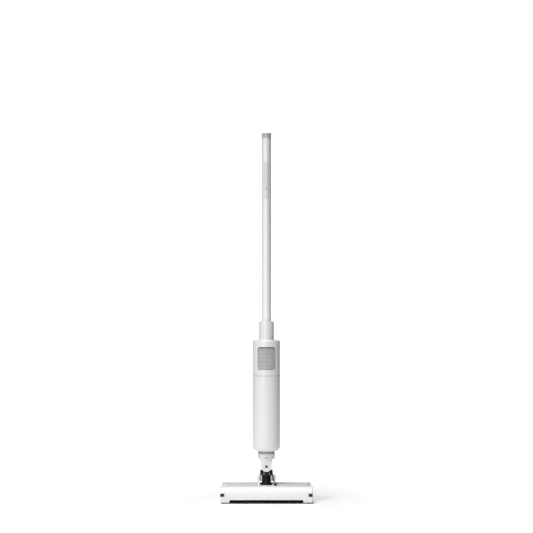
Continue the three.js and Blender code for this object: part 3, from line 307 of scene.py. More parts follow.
# %% [markdown]
# ## Finishes
#
# A finish is a small network of nodes. Every one here reads Object coordinates, so its grain has a real
# size: the frame is in metres, and a noise scale of 2000 gives grains of half a millimetre. The shared
# part of each network is a fine bump for the surface's texture and a slow, faint change of tone, because
# no moulding is one flat colour.

# %% Node helpers
finishes = {}


def new_finish(name, colour, roughness, **shader_values):
    """Starts a material: its tree to add to, and its Principled shader with the plain values set."""
    material = bpy.data.materials.new(name)
    material.use_nodes = True
    tree = material.node_tree
    shader = tree.nodes["Principled BSDF"]
    shader.inputs["Base Color"].default_value = (*colour, 1)
    shader.inputs["Roughness"].default_value = roughness
    for socket, value in shader_values.items():
        shader.inputs[socket.replace("_", " ")].default_value = value
    material.diffuse_color = (*colour, 1)
    finishes[name] = material
    return tree, shader


def add(tree, kind, inputs=(), **settings):
    """One node, with its settings, and its inputs given as numbers or as other nodes' outputs."""
    node = tree.nodes.new("ShaderNode" + kind)
    for key, value in settings.items():
        setattr(node, key, value)
    for socket, value in dict(inputs).items():
        if isinstance(value, bpy.types.NodeSocket):
            tree.links.new(value, node.inputs[socket])
        else:
            node.inputs[socket].default_value = value
    return node


def place(tree, stretch=(1, 1, 1)):
    """Object coordinates, squeezed or stretched along the axes."""
    source = add(tree, "TexCoord")
    if stretch == (1, 1, 1):
        return source.outputs["Object"]
    return add(tree, "Mapping", {"Vector": source.outputs["Object"], "Scale": stretch}).outputs["Vector"]


def noise(tree, at, scale, detail=3.0, rough=0.55):
    made_noise = add(
        tree, "TexNoise", {"Vector": at, "Scale": scale, "Detail": detail, "Roughness": rough}
    )
    return made_noise.outputs["Fac"]


def spread(tree, value, low, high, start=0.0, end=1.0):
    """A value between start and end, carried over to low and high."""
    inputs = {"Value": value, "From Min": start, "From Max": end, "To Min": low, "To Max": high}
    return add(tree, "MapRange", inputs).outputs["Result"]


def tint(tree, factor, dark, light):
    mix = add(tree, "Mix", data_type="RGBA")
    tree.links.new(factor, mix.inputs["Factor"])
    mix.inputs[6].default_value = (*dark, 1)
    mix.inputs[7].default_value = (*light, 1)
    return mix.outputs[2]


def shaded(colour, amount):
    return tuple(min(channel * amount, 1) for channel in colour)


def bump(tree, shader, height, depth, onto=None):
    """Adds a bump of the given depth in metres under the shader's normal."""
    inputs = {"Height": height, "Distance": depth, "Strength": 1.0}
    if onto is not None:
        inputs["Normal"] = onto
    made_bump = add(tree, "Bump", inputs)
    tree.links.new(made_bump.outputs["Normal"], shader.inputs["Normal"])
    return made_bump.outputs["Normal"]


print("node helpers are ready")

# %% [markdown]
# Moulded plastic has three things to show: a spark-eroded grain a few tenths of a millimetre across, a
# wavy gloss where the melt cooled unevenly, and a little dust that settles low down in specks.

# %% Moulded plastic


def moulded(name, colour, roughness, grain=2600, depth=0.00002, mottle=0.05, dust=0.0, **shader_values):
    tree, shader = new_finish(name, colour, roughness, **shader_values)
    at = place(tree)
    clouds = noise(tree, at, 22, 4)
    tone = tint(tree, spread(tree, clouds, 0, 1, 0.3, 0.7), shaded(colour, 1 - mottle), colour)
    if dust:
        height = add(tree, "SeparateXYZ", {"Vector": at}).outputs["Z"]
        low_down = spread(tree, height, dust, 0, 0.0, 0.03)
        specks = spread(tree, noise(tree, at, 260, 5, 0.7), 0, 1, 0.5, 0.68)
        amount = add(tree, "Math", {0: low_down, 1: specks}, operation="MULTIPLY").outputs[0]
        dusty = add(tree, "Mix", data_type="RGBA")
        tree.links.new(amount, dusty.inputs["Factor"])
        tree.links.new(tone, dusty.inputs[6])
        dusty.inputs[7].default_value = (0.52, 0.5, 0.46, 1)
        tone = dusty.outputs[2]
    tree.links.new(tone, shader.inputs["Base Color"])
    gloss = spread(tree, noise(tree, at, 90, 3), roughness - 0.05, roughness + 0.06, 0.3, 0.7)
    tree.links.new(gloss, shader.inputs["Roughness"])
    grainy = bump(tree, shader, noise(tree, at, grain, 2), depth)
    bump(tree, shader, noise(tree, at, 36, 2), 0.00008, grainy)


WHITE = (0.74, 0.74, 0.735)
DEEP_BLACK = (0.007, 0.007, 0.007)
moulded("white_shell", WHITE, 0.36, mottle=0.018, dust=0.2)
moulded("pale_grey_plastic", (0.56, 0.56, 0.56), 0.45, dust=0.3)
moulded("mid_grey_plastic", (0.28, 0.28, 0.285), 0.42)
moulded("dark_grey_plastic", (0.06, 0.062, 0.065), 0.5, dust=0.35)
moulded("black_plastic", DEEP_BLACK, 0.42, depth=0.00003, Specular_IOR_Level=0.22)
print("plastics:", len(finishes))

# %% [markdown]
# The pole is aluminium with a baked powder coat. Powder melts into a skin with a shallow orange peel,
# about a millimetre from crest to crest, and its gloss is more even than a moulding's.

# %% Powder coat


def powder_coat(name, colour, roughness):
    tree, shader = new_finish(name, colour, roughness, Coat_Weight=0.25, Coat_Roughness=0.22)
    at = place(tree)
    streaks = noise(tree, place(tree, (60, 60, 5)), 1, 3)
    tone = tint(tree, spread(tree, streaks, 0, 1, 0.3, 0.7), shaded(colour, 0.975), colour)
    tree.links.new(tone, shader.inputs["Base Color"])
    worn = noise(tree, place(tree, (40, 40, 12)), 1, 4)
    rubbed = spread(tree, worn, roughness - 0.04, roughness + 0.07, 0.35, 0.7)
    tree.links.new(rubbed, shader.inputs["Roughness"])
    peel = bump(tree, shader, noise(tree, at, 900, 2, 0.4), 0.00003)
    bump(tree, shader, noise(tree, at, 4200, 1), 0.000006, peel)


powder_coat("white_tube", (0.85, 0.85, 0.85), 0.34)
print("with the powder coat:", len(finishes))

# %% [markdown]
# Rubber, bristle and hose are all near black, and only their surface tells them apart: rubber is matt
# with pale bloom, bristle is thousands of hairs that point outwards, and the hose is a flexible plastic
# with a soft shine.

# %% Rubber, bristle and hose


def rubber(name, colour, roughness):
    tree, shader = new_finish(name, colour, roughness, Specular_IOR_Level=0.35)
    at = place(tree)
    bloom = spread(tree, noise(tree, at, 140, 5, 0.65), 0, 1, 0.45, 0.75)
    tree.links.new(tint(tree, bloom, colour, shaded(colour, 3.2)), shader.inputs["Base Color"])
    tree.links.new(spread(tree, bloom, roughness, roughness + 0.12), shader.inputs["Roughness"])
    bump(tree, shader, noise(tree, at, 1800, 3), 0.00004)


def bristle_hairs(name, colour):
    tree, shader = new_finish(name, colour, 0.8, Specular_IOR_Level=0.05)
    hairs = noise(tree, place(tree, (2600, 500, 500)), 1, 2, 0.7)
    contrast = spread(tree, hairs, 0, 1, 0.35, 0.65)
    tone = tint(tree, contrast, shaded(colour, 0.35), shaded(colour, 2.4))
    tree.links.new(tone, shader.inputs["Base Color"])
    bump(tree, shader, contrast, 0.0004)


rubber("black_rubber", (0.016, 0.016, 0.016), 0.68)
# The bristle's near-black colour is partly painted shade: it keeps the slit under the hood black.
bristle_hairs("bristle", (0.005, 0.005, 0.005))
moulded("hose_plastic", DEEP_BLACK, 0.36, grain=1500, depth=0.00003, Specular_IOR_Level=0.3)
print("with the black finishes:", len(finishes))

# %% [markdown]
# Metal parts inside the machine are turned or drawn, so their fine lines run one way. Stretching a noise
# along the part's axis gives those lines, and the same noise varies the roughness.

# %% Metals


def brushed(name, colour, roughness, stretch):
    tree, shader = new_finish(name, colour, roughness, Metallic=1.0)
    lines = noise(tree, place(tree, stretch), 1, 4, 0.6)
    tree.links.new(tint(tree, lines, shaded(colour, 0.75), colour), shader.inputs["Base Color"])
    sheen = spread(tree, lines, roughness - 0.08, roughness + 0.15, 0.3, 0.7)
    tree.links.new(sheen, shader.inputs["Roughness"])
    bump(tree, shader, lines, 0.00001)


brushed("steel", (0.6, 0.61, 0.62), 0.32, (30, 1800, 1800))
print("with the metal:", len(finishes))

# %% [markdown]
# The pieces inside show only when the machine is taken apart, yet each is finished too: open foam has
# round cells with painted shade in their middles, filter paper has fibres, the circuit board has copper
# tracks under green lacquer, and the cells wear a blue shrink wrap with faint creases, which are painted
# shade in the folds and painted light on the ridges.

# %% Inner finishes


def open_foam(name, colour):
    tree, shader = new_finish(name, colour, 0.95)
    at = place(tree)
    cells = add(tree, "TexVoronoi", {"Vector": at, "Scale": 900.0}, feature="DISTANCE_TO_EDGE")
    # The middles of the cells get a quarter of the colour: painted shade in the pores.
    walls = spread(tree, cells.outputs["Distance"], 1, 0, 0.02, 0.2)
    tree.links.new(tint(tree, walls, shaded(colour, 0.25), colour), shader.inputs["Base Color"])
    bump(tree, shader, walls, 0.0005)


def filter_fibre(name, colour):
    tree, shader = new_finish(name, colour, 0.9)
    at = place(tree)
    fibres = noise(tree, place(tree, (700, 700, 2600)), 1, 5, 0.7)
    clouds = spread(tree, noise(tree, at, 60, 3), 0, 1, 0.35, 0.7)
    mixed = add(tree, "Math", {0: fibres, 1: clouds}, operation="MULTIPLY").outputs[0]
    tree.links.new(tint(tree, mixed, colour, shaded(colour, 0.72)), shader.inputs["Base Color"])
    bump(tree, shader, fibres, 0.0001)


def lacquered_board(name, colour):
    tree, shader = new_finish(name, colour, 0.35, Coat_Weight=0.4, Coat_Roughness=0.15)
    tracks = add(
        tree, "TexBrick", {"Vector": place(tree, (1, 1, 1)), "Scale": 240.0, "Mortar Size": 0.03}
    ).outputs["Fac"]
    tree.links.new(tint(tree, tracks, colour, shaded(colour, 1.9)), shader.inputs["Base Color"])
    bump(tree, shader, tracks, 0.00004)


def shrink_wrap(name, colour):
    tree, shader = new_finish(name, colour, 0.3, Coat_Weight=0.5, Coat_Roughness=0.1)
    creases = noise(tree, place(tree, (160, 160, 30)), 1, 5, 0.6)
    # Darker in the folds and lighter on the ridges: painted shade and painted light on the creases.
    tree.links.new(tint(tree, creases, shaded(colour, 0.7), shaded(colour, 1.2)), shader.inputs["Base Color"])
    bump(tree, shader, creases, 0.0002)


open_foam("foam", (0.2, 0.205, 0.21))
filter_fibre("filter_paper", (0.78, 0.75, 0.68))
lacquered_board("board", (0.02, 0.13, 0.06))
shrink_wrap("cell_wrap", (0.05, 0.16, 0.36))
moulded("lens", (0.72, 0.78, 0.84), 0.18, Transmission_Weight=0.35, Emission_Strength=0.0)
print("all finishes:", ", ".join(finishes))

# %% [markdown]
# ## The pole
#
# On the real machine the pole is a drawn aluminium tube with a slot pressed into its front for the
# controls. A closed line of four points spun about the axis gives the tube with its wall, and a
# pill-shaped block cuts the slot. The block becomes a pill by rounding its four long edges until they
# meet.

# %% Pill shapes and the pole's tube


def pill(half, low_z, high_z, front, back):
    """An upright block with round ends, as wide as two times `half`."""
    bm = block((-half, front, low_z), (half, back, high_z))
    round_edges(bm, edges_along(bm, 1), half - 0.02, 10)
    return bm


def ring_wall(outer, inner, low_z, high_z):
    return turned([(outer, low_z), (outer, high_z), (inner, high_z), (inner, low_z)], closed=True)


panel_low, panel_high = box_of("control_panel")
POLE_RADIUS = (tube_high.x - tube_low.x) / 2
POLE_WALL = 1.4
GAP = 0.3
FRONT = STICK_Y - POLE_RADIUS - 2

tube_wall = ring_wall(POLE_RADIUS, POLE_RADIUS - POLE_WALL, tube_low.z, tube_high.z)
slot = pill(panel_high.x + GAP, panel_low.z - GAP, panel_high.z + GAP, FRONT, STICK_Y)
finish(cut(tube_wall, slot), "pole", "pole", "white_tube", ["pole_tube"], soften=0.2)

# %% [markdown]
# The control panel is a thin moulded strip that fills the slot almost flush. It is the overlap of a
# slightly larger tube and a pill, so its front keeps the pole's curve. The two keys and the light are
# made the same way, and the keys stand half a millimetre proud so that a thumb finds them.

# %% Panel, keys and light
KEYS = ["power_button", "mode_button"]
panel_face = POLE_RADIUS + 0.15


def on_the_curve(outer, inner, half, low_z, high_z):
    wall = ring_wall(outer, inner, low_z - 2, high_z + 2)
    return kept_inside(wall, pill(half, low_z, high_z, FRONT, STICK_Y))


def opening_for(node):
    low, high = box_of(node)
    return pill(high.x + 0.2, low.z - 0.2, high.z + 0.2, FRONT, STICK_Y)


strip = on_the_curve(panel_face, POLE_RADIUS - POLE_WALL - 1.4, panel_high.x, panel_low.z, panel_high.z)
strip = cut(strip, *[opening_for(node) for node in [*KEYS, "status_lens"]])
finish(strip, "panel_strip", "pole", "white_shell", ["control_panel"], soften=0.15)

for node in KEYS:
    low, high = box_of(node)
    key = on_the_curve(panel_face + 0.4, POLE_RADIUS - POLE_WALL, high.x, low.z, high.z)
    finish(key, node + "_key", node, "white_shell", [node], soften=0.35, segments=3)

low, high = box_of("status_lens")
light = on_the_curve(panel_face, POLE_RADIUS - POLE_WALL, high.x, low.z, high.z)
finish(light, "status_light", "pole", "lens", ["status_lens"], soften=0.15)

# %% [markdown]
# The cap closes the pole's end. Its side has upright grooves for grip, as on a bottle top. The cap is
# turned first, and then every second pair of side faces is pushed in with an inset that also has a depth.

# %% The grooved cap
cap_low, cap_high = box_of("pole_cap")
CAP_FOOT = tube_high.z + GAP
rim = cap_high.x - cap_low.x
rim_radius = rim / 2
side_radius = POLE_RADIUS + 0.4
cap_line = [
    (0, cap_low.z),
    (POLE_RADIUS - POLE_WALL - GAP, cap_low.z),
    (POLE_RADIUS - POLE_WALL - GAP, CAP_FOOT),
    (side_radius, CAP_FOOT, 0.4),
    (side_radius, cap_high.z - 4.6),
    (rim_radius, cap_high.z - 3.2),
    (rim_radius, cap_high.z, 0.8),
    (0, cap_high.z),
]
cap = turned(cap_line)
cap.faces.ensure_lookup_table()


def is_groove(face):
    """Side faces of the cap, in every second pair around the axis."""
    middle = face.calc_center_median()
    away = middle.xy - Vector((0, STICK_Y))
    tall = max(edge.calc_length() for edge in face.edges)
    share = (away.angle_signed(Vector((1, 0))) / (2 * pi)) % 1
    return abs(away.length - side_radius) < 0.1 and tall > 5 and int(share * ROUND_STEPS) % 4 < 2


grooves = [face for face in cap.faces if is_groove(face)]
bmesh.ops.inset_region(cap, faces=grooves, thickness=0.18, depth=-0.6, use_even_offset=True)
finish(cap, "cap", "pole", "pale_grey_plastic", ["pole_cap"], soften=0.1, segments=1)
print("grooved faces:", len(grooves))

# %% [markdown]
# ## The motor unit
#
# The upper shell is one moulding: a drum, a soft shoulder, and a collar that holds the pole. A narrow
# step at its foot holds a thin black seal, whose black also paints the shadow line of the seam above the
# dust cup. Turning it as a closed line gives both its outside and its wall. Its openings are cut
# afterwards: a window for the exhaust grille, holes for two latches and a place for the charging socket.

# %% The upper shell
shell_low, shell_high = box_of("upper_housing")
BODY_RADIUS = shell_high.x
BODY_INSIDE = BODY_RADIUS - 2.2
SHADOW_SEAL_HEIGHT = 0.5
collar_radius = 20.3
shoulder = shell_high.z - 52.5
bore = POLE_RADIUS + GAP
shell_line = [
    (BODY_RADIUS - 1.4, shell_low.z),
    (BODY_RADIUS - 1.4, shell_low.z + SHADOW_SEAL_HEIGHT),
    (BODY_RADIUS, shell_low.z + SHADOW_SEAL_HEIGHT),
    (BODY_RADIUS, shoulder, 2.6),
    (collar_radius, shoulder + 0.8, 4.5),
    (collar_radius, shell_high.z, 2),
    (bore, shell_high.z),
    (bore, tube_low.z - GAP),
    (bore - 3, tube_low.z - GAP),
    (bore - 3, shoulder - 2.2),
    (BODY_INSIDE, shoulder - 2.2),
    (BODY_INSIDE, shell_low.z),
]


def rounded_block(low, high, corner, axis=1):
    """A block whose four edges along one axis are rounded."""
    bm = block(low, high)
    round_edges(bm, edges_along(bm, axis), corner, 8)
    return bm


def grown(low, high, by, y):
    """The front outline of a box, made larger all round, with its own depth in y."""
    return (low.x - by, y[0], low.z - by), (high.x + by, y[1], high.z + by)


grille_low, grille_high = box_of("exhaust_grille")
GRILLE_CORNER = 5.5
FRONT_OF_BODY = (STICK_Y - BODY_RADIUS - 3, STICK_Y)
BACK_OF_BODY = (STICK_Y + 25, STICK_Y + BODY_RADIUS + 3)
window = rounded_block(*grown(grille_low, grille_high, 0.4, FRONT_OF_BODY), GRILLE_CORNER)
latch_low, latch_high = box_of("cup_latch")
latch_hole = rounded_block(*grown(latch_low, latch_high, GAP, BACK_OF_BODY), 1.8)
pole_latch_low, pole_latch_high = box_of("pole_latch")
pole_latch_y = (pole_latch_low.y - 2.4, STICK_Y + collar_radius + 3)
pole_latch_hole = rounded_block(*grown(pole_latch_low, pole_latch_high, GAP, pole_latch_y), 1.8)
port_low, port_high = box_of("charge_socket")
port_hole = rounded_block(*grown(port_low, port_high, 0.2, BACK_OF_BODY), 3)
shell = cut(turned(shell_line, closed=True), window, latch_hole, pole_latch_hole, port_hole)
finish(shell, "upper_shell", "motor_unit", "white_shell", ["upper_housing"], soften=0.4, segments=3)
# A thin black rubber seal in the step; its black also paints the shadow line of the seam above the cup.
seam_shadow_seal = ring_wall(BODY_RADIUS - 0.45, BODY_RADIUS - 1.45, shell_low.z, shell_low.z + SHADOW_SEAL_HEIGHT)
finish(seam_shadow_seal, "cup_seal_painted_shadow", "motor_unit", "black_rubber", soften=0)

# %% [markdown]
# The grille is a plate with round holes in staggered rows, bent to the drum's curve and set a little deep
# in the window. One cell is made once: a ring of eight corners bridged to a diamond of eight. Diamonds
# tile without gaps, so the cell is copied in staggered rows while the plate is flat. Bending comes last,
# as one turn per vertex. The plate stops short of the window's top, where a dark gap lets the cooling air
# spill out.

# %% One cell of the grille
HOLE_RADIUS = 1.65
CELL_WIDTH = 7.0
CELL_HEIGHT = 7.34


def grille_cell():
    """A flat diamond with a round hole, in x and z."""
    bm = bmesh.new()
    bmesh.ops.create_circle(bm, segments=8, radius=HOLE_RADIUS)
    bmesh.ops.create_circle(bm, segments=8, radius=1)
    for vertex in list(bm.verts)[8:]:
        x, y = vertex.co.xy / (abs(vertex.co.x) + abs(vertex.co.y))
        vertex.co = (x * CELL_WIDTH / 2, y * CELL_HEIGHT / 2, 0)
    bmesh.ops.bridge_loops(bm, edges=bm.edges[:])
    bmesh.ops.rotate(bm, verts=bm.verts, cent=(0, 0, 0), matrix=Matrix.Rotation(pi / 2, 3, "X"))
    return bm


trial = grille_cell()
print("faces in one cell:", len(trial.faces))
trial.free()

# %% The bent grille
GRILLE_RADIUS = BODY_RADIUS - 1.8
GRILLE_THICKNESS = 0.6
TOP_GAP = 3.0
half_arc = GRILLE_RADIUS * asin(grille_high.x / BODY_RADIUS)
grille_middle = (grille_low.z + grille_high.z) / 2
side_cells = int(half_arc / CELL_WIDTH) + 2
row_reach = int((grille_high.z - grille_low.z) / CELL_HEIGHT) + 2


def grille_plate():
    bm = grille_cell()
    cell = all_of(bm)
    for row in range(-row_reach, row_reach + 1):
        for column in range(-side_cells, side_cells + 1):
            if row or column:
                twin = bmesh.ops.duplicate(bm, geom=cell)["geom"]
                across = column * CELL_WIDTH + (row % 2) * CELL_WIDTH / 2
                bmesh.ops.translate(bm, verts=corners_in(twin), vec=(across, 0, row * CELL_HEIGHT / 2))
    moved(bm, (0, 0, grille_middle))
    bmesh.ops.remove_doubles(bm, verts=bm.verts, dist=0.01)
    return bm


def trimmed(bm, half, low_z, high_z):
    """Keeps what lies within a frame in x and z."""
    sides = [((half, 0, 0), (1, 0, 0)), ((-half, 0, 0), (-1, 0, 0))]
    sides += [((0, 0, high_z), (0, 0, 1)), ((0, 0, low_z), (0, 0, -1))]
    for point, normal in sides:
        sliced(bm, point, normal, True)
    return bm


def bent(bm, radius):
    """Wraps a flat plate about the stick's axis, on its front side. y keeps its meaning as depth."""
    for vertex in bm.verts:
        angle = vertex.co.x / radius
        reach = radius - vertex.co.y
        vertex.co.x = reach * sin(angle)
        vertex.co.y = STICK_Y - reach * cos(angle)
    return bm


plate = trimmed(grille_plate(), half_arc + 1.2, grille_low.z - 1.2, grille_high.z - TOP_GAP)
bmesh.ops.recalc_face_normals(plate, faces=plate.faces)
bmesh.ops.solidify(plate, geom=plate.faces[:], thickness=GRILLE_THICKNESS)
moved(plate, (0, -min(vertex.co.y for vertex in plate.verts), 0))
bent(plate, GRILLE_RADIUS)
finish(plate, "exhaust_mesh", "motor_unit", "pale_grey_plastic", ["exhaust_grille"], soften=0)

# %% [markdown]
# Two latches sit at the back, one for the cup and one for the pole. Each is a small rounded block with
# ridges for a fingertip. The ridges come from cutting the block's face into strips with bisect planes and
# pushing every second strip in.

# %% Latches


def ridged(bm, low_z, high_z, count, depth, out):
    """Cuts the face that looks towards `out` (+1 back, -1 front) into strips and sinks every second one."""
    step = (high_z - low_z) / (2 * count + 1)
    for line in range(1, 2 * count + 1):
        sliced(bm, (0, 0, low_z + line * step), (0, 0, 1))
    sunk = []
    for face in bm.faces:
        middle = face.calc_center_median()
        strip_index = int((middle.z - low_z) / step)
        if face.normal.y * out > 0.99 and low_z < middle.z < high_z and strip_index % 2:
            sunk.append(face)
    bmesh.ops.inset_individual(bm, faces=sunk, thickness=0.25, depth=-depth, use_even_offset=True)
    return bm


def latch(low, high, name, node):
    bm = rounded_block(low, high, 1.6)
    margin = (high.z - low.z) * 0.18
    ridged(bm, low.z + margin, high.z - margin, 3, 0.5, 1)
    finish(bm, name, node, "white_shell", [node], soften=0.35)


latch(latch_low, latch_high, "cup_latch_key", "cup_latch")
latch(pole_latch_low, pole_latch_high, "pole_latch_key", "pole_latch")

# %% [markdown]
# The charging socket is a dark insert behind its opening, with a round hole and a pin for the charger's
# plug. A thick plate is cut with a turned rod laid along y, and a thinner rod is joined in its middle.

# %% Charging socket
port_middle = (port_low + port_high) / 2
plate_back = rounded_block(port_low, (port_high.x, port_high.y - 0.4, port_high.z), 2.8)


def rod_along(axis, radius, start, end, through, steps=48):
    """A turned rod along x or y. `through` is a point on its axis, and start and end lie along it."""
    bm = rod(radius, start, end, centre=(0, 0), steps=steps)
    spot = Vector(through)
    spot["xy".index(axis)] = 0
    return laid_along(bm, axis, spot)


mouth = rod_along("y", 3.6, port_low.y + 1.4, port_high.y + 2, port_middle)
pin = rod_along("y", 0.9, port_low.y + 0.5, port_high.y - 1.6, port_middle)
socket = joined(cut(plate_back, mouth), pin)
finish(socket, "charging_socket", "motor_unit", "dark_grey_plastic", ["charge_socket"])

# %% [markdown]
# ## The dust cup
#
# The cup is one white moulding with a large round foot. Its wall carries an inner ledge for the filter.
# The same turning makes it, and the big radius on its foot is only a bevel with many segments.

# %% Cup and socket ring
cup_low, cup_high = box_of("dust_cup")
socket_low, socket_high = box_of("cup_socket")
LEDGE_Z = cup_high.z - 62
CUP_MOUTH = 20.3
RING_INSIDE = 17.0
RING_SEAT = 20.0
AIR_RADIUS = 10.5
cup_line = [
    (CUP_MOUTH, cup_low.z),
    (BODY_RADIUS, cup_low.z, 12.5),
    (BODY_RADIUS, cup_high.z),
    (BODY_INSIDE, cup_high.z),
    (BODY_INSIDE, LEDGE_Z),
    (BODY_INSIDE - 3.3, LEDGE_Z),
    (BODY_INSIDE - 3.3, LEDGE_Z - 1.5),
    (BODY_INSIDE, LEDGE_Z - 4),
    (BODY_INSIDE, cup_low.z + 2.6, 10.6),
    (CUP_MOUTH, cup_low.z + 2.6),
]
finish(turned(cup_line, closed=True), "cup_shell", "cup", "white_shell", ["dust_cup"], soften=0.5)

# The socket ring is a real part; its mid grey also paints the shadow gap between the cup's foot and the neck.
band = socket_high.x
band_line = [
    (RING_INSIDE, socket_low.z),
    (band, socket_low.z, 0.5),
    (band, cup_low.z - GAP, 0.3),
    (RING_SEAT, cup_low.z - GAP),
    (RING_SEAT, socket_high.z),
    (RING_INSIDE, socket_high.z),
]
finish(turned(band_line, closed=True), "cup_ring_with_painted_shadow", "cup", "mid_grey_plastic", ["cup_socket"], soften=0.2)

# %% [markdown]
# Below the motor unit hangs the motor's pod, whose flange and lip close the cup. It shows when the cup is
# taken off, so it gets the same smooth turning as the shells.

# %% Motor pod
pod_low, pod_high = box_of("motor_pod")
SEAM_Z = cup_high.z
motor_radius = box_of("suction_motor")[1].x
pod_radius = motor_radius + 4
flange = pod_high.x
pod_line = [
    (AIR_RADIUS, pod_low.z),
    (pod_radius, pod_low.z, 3.5),
    (pod_radius, SEAM_Z + 1, 1),
    (flange - 2, SEAM_Z + 1, 1),
    (flange - 2, SEAM_Z - 6),
    (flange, SEAM_Z - 6, 0.6),
    (flange, pod_high.z),
    (pod_radius - 2, pod_high.z),
    (pod_radius - 2, SEAM_Z - 22),
    (motor_radius + GAP, SEAM_Z - 22),
    (motor_radius + GAP, SEAM_Z - 27),
    (pod_radius - 2, SEAM_Z - 29),
    (pod_radius - 2, pod_low.z + 2),
    (AIR_RADIUS, pod_low.z + 2),
]
pod = turned(pod_line, closed=True)
finish(pod, "pod", "motor_unit", "pale_grey_plastic", ["motor_pod"], soften=0.2)

# %% [markdown]
# ## The neck
#
# The white neck ends in two ears that hang outside a black cross piece, so that the stick can lean to the
# side. It is several simple shapes joined: a turned ring with its spigot, a crown that widens upwards,
# and two ears with round ends. The crown starts as a block whose top face is extruded and widened, then
# trimmed to the ring's circle.

# %% The white neck
neck_low, neck_high = box_of("neck_clevis")
pin_low, pin_high = box_of("swing_pin_front")
ring_radius = neck_high.x
SWING_Z = (pin_low.z + pin_high.z) / 2
socket_radius = 16.6
ring_top = socket_low.z - GAP
ring_bottom = ring_top - 11.4
ear_half = SWING_Z - neck_low.z
ear_y = (17.8, 21.8)
crown_bottom = SWING_Z + 14


def both_ways(low, high, across_y, up, middle):
    """A front and a rear lug, mirrored about the stick's axis."""
    shapes = []
    for y0, y1 in [(-across_y[1], -across_y[0]), across_y]:
        shape = lug((-middle, STICK_Y + y0, low), (middle, STICK_Y + y1, high), 0, up, 16)
        shapes.append(shape)
    return shapes


def crown():
    low = (-ear_half, STICK_Y - ring_radius, crown_bottom)
    bm = block(low, (ear_half, STICK_Y + ring_radius, ring_bottom - 5.2))
    top = max(bm.faces, key=lambda face: face.calc_center_median().z)
    grown_face = bmesh.ops.extrude_face_region(bm, geom=[top])["geom"]
    bmesh.ops.delete(bm, geom=[top], context="FACES")
    corners = corners_in(grown_face)
    bmesh.ops.translate(bm, verts=corners, vec=(0, 0, 5.6))
    bmesh.ops.scale(bm, verts=corners, vec=(ring_radius / ear_half, 1, 1))
    return kept_inside(bm, rod(ring_radius, crown_bottom - 1, ring_bottom + 1))


ring_line = [
    (0, ring_bottom - 0.4),
    (ring_radius, ring_bottom, 0.6),
    (ring_radius, ring_top, 1.4),
    (socket_radius, ring_top),
    (socket_radius, neck_high.z, 0.8),
    (0, neck_high.z),
]
spout_bottom = SWING_Z + 6.6
SPOUT_RADIUS = 13
spout_line = [
    (0, spout_bottom),
    (SPOUT_RADIUS, spout_bottom, 0.5),
    (SPOUT_RADIUS, crown_bottom + 1),
    (0, crown_bottom + 1),
]
spout = turned(spout_line)
ears = both_ways(neck_low.z, crown_bottom + 1, ear_y, False, ear_half)
neck = joined(turned(ring_line), crown(), spout, *ears)
button_low, button_high = box_of("neck_button")
air_bore = rod(AIR_RADIUS, spout_bottom - 2, neck_high.z + 2)
SWING_BORE = 3.3


def swing_bore():
    return rod_along("y", SWING_BORE, STICK_Y - 30, STICK_Y + 30, (0, 0, SWING_Z))


button_depth = (button_low.y - 3, button_high.y + 3.4)
button_hole = rounded_block(*grown(button_low, button_high, GAP, button_depth), 1.2)
neck = cut(neck, air_bore, swing_bore(), button_hole)
finish(neck, "neck", "neck", "white_shell", ["neck_clevis"], soften=0.5, segments=3)

# %% [markdown]
# A release button fills its opening in the ring, with a dark grey strip under it that paints the shadow
# under the button's lower edge. Two dark pins with square heads hold the ears, one in front and one behind.

# %% Release button and swing pins
button = rounded_block(button_low, button_high, 1.1)
round_edges(button, edges_along(button, 0, lambda m: m.y < button_low.y + 0.1), 0.6, 3)
finish(button, "release_button", "neck_button", "white_shell", ["neck_button"], soften=0.25)

# A dark grey strip under the button: painted shadow of the button's lower edge.
button_shadow_low = (button_low.x, button_low.y + 0.2, button_low.z - 2.0)
button_shadow_high = (button_high.x, button_low.y + 2.5, button_low.z - 0.6)
button_shadow = rounded_block(button_shadow_low, button_shadow_high, 0.6)
finish(button_shadow, "release_button_shadow", "neck", "dark_grey_plastic", soften=0.2)

for end, way in [("front", -1), ("rear", 1)]:
    low, high = box_of("swing_pin_" + end)
    outer = low.y if way < 0 else high.y
    head_y = sorted([outer, outer - way * 1.0])
    head = rounded_block((low.x, head_y[0], low.z), (high.x, head_y[1], high.z), 1.0)
    inner = high.y if way < 0 else low.y
    shank = rod_along("y", 3.0, *sorted([outer - way * 0.6, inner]), (0, 0, SWING_Z))
    pin = "swing_pin_" + end
    finish(joined(head, shank), pin + "_dark", "neck", "dark_grey_plastic", [pin], soften=0.2)

# %% [markdown]
# The cross piece is black. Its band goes round the hose, two lugs hang at its sides on the tilting axis,
# and two stand in front and behind on the swinging axis. The side lugs are grey, which paints the shade
# beside the hose, so they are pieces of their own, which keeps one finish to a piece.

# %% The cross piece
BOSS_INSIDE = 14.0
TILT_BORE = 3.5
BAND_WALL = 2.8
SIDES = [(-1, "left"), (1, "right")]
gimbal_low, gimbal_high = box_of("gimbal")
tilt_low, tilt_high = box_of("tilt_pin_right")
TILT_Z = (tilt_low.z + tilt_high.z) / 2
lug_round = TILT_Z - gimbal_low.z
band_inside = gimbal_high.x - 4
band_low = TILT_Z + 7.5
band_high = band_low + 14
upright_half = gimbal_high.z - SWING_Z

collar_line = [
    (band_inside, band_low),
    (band_inside + BAND_WALL, band_low, 0.5),
    (band_inside + BAND_WALL, band_high, 0.5),
    (band_inside, band_high),
]
collar = turned(collar_line, closed=True)


def span(side, near, far):
    """Two x values on one side of the middle, -1 left or 1 right, the lower one first."""
    return sorted([side * near, side * far])


uprights = both_ways(band_low + 9, gimbal_high.z, (band_inside, band_inside + 3), True, upright_half)
cross = joined(collar, *uprights)
cross = cut(cross, swing_bore())
finish(cross, "cross_piece", "gimbal", "black_plastic", ["gimbal"], soften=0.4)

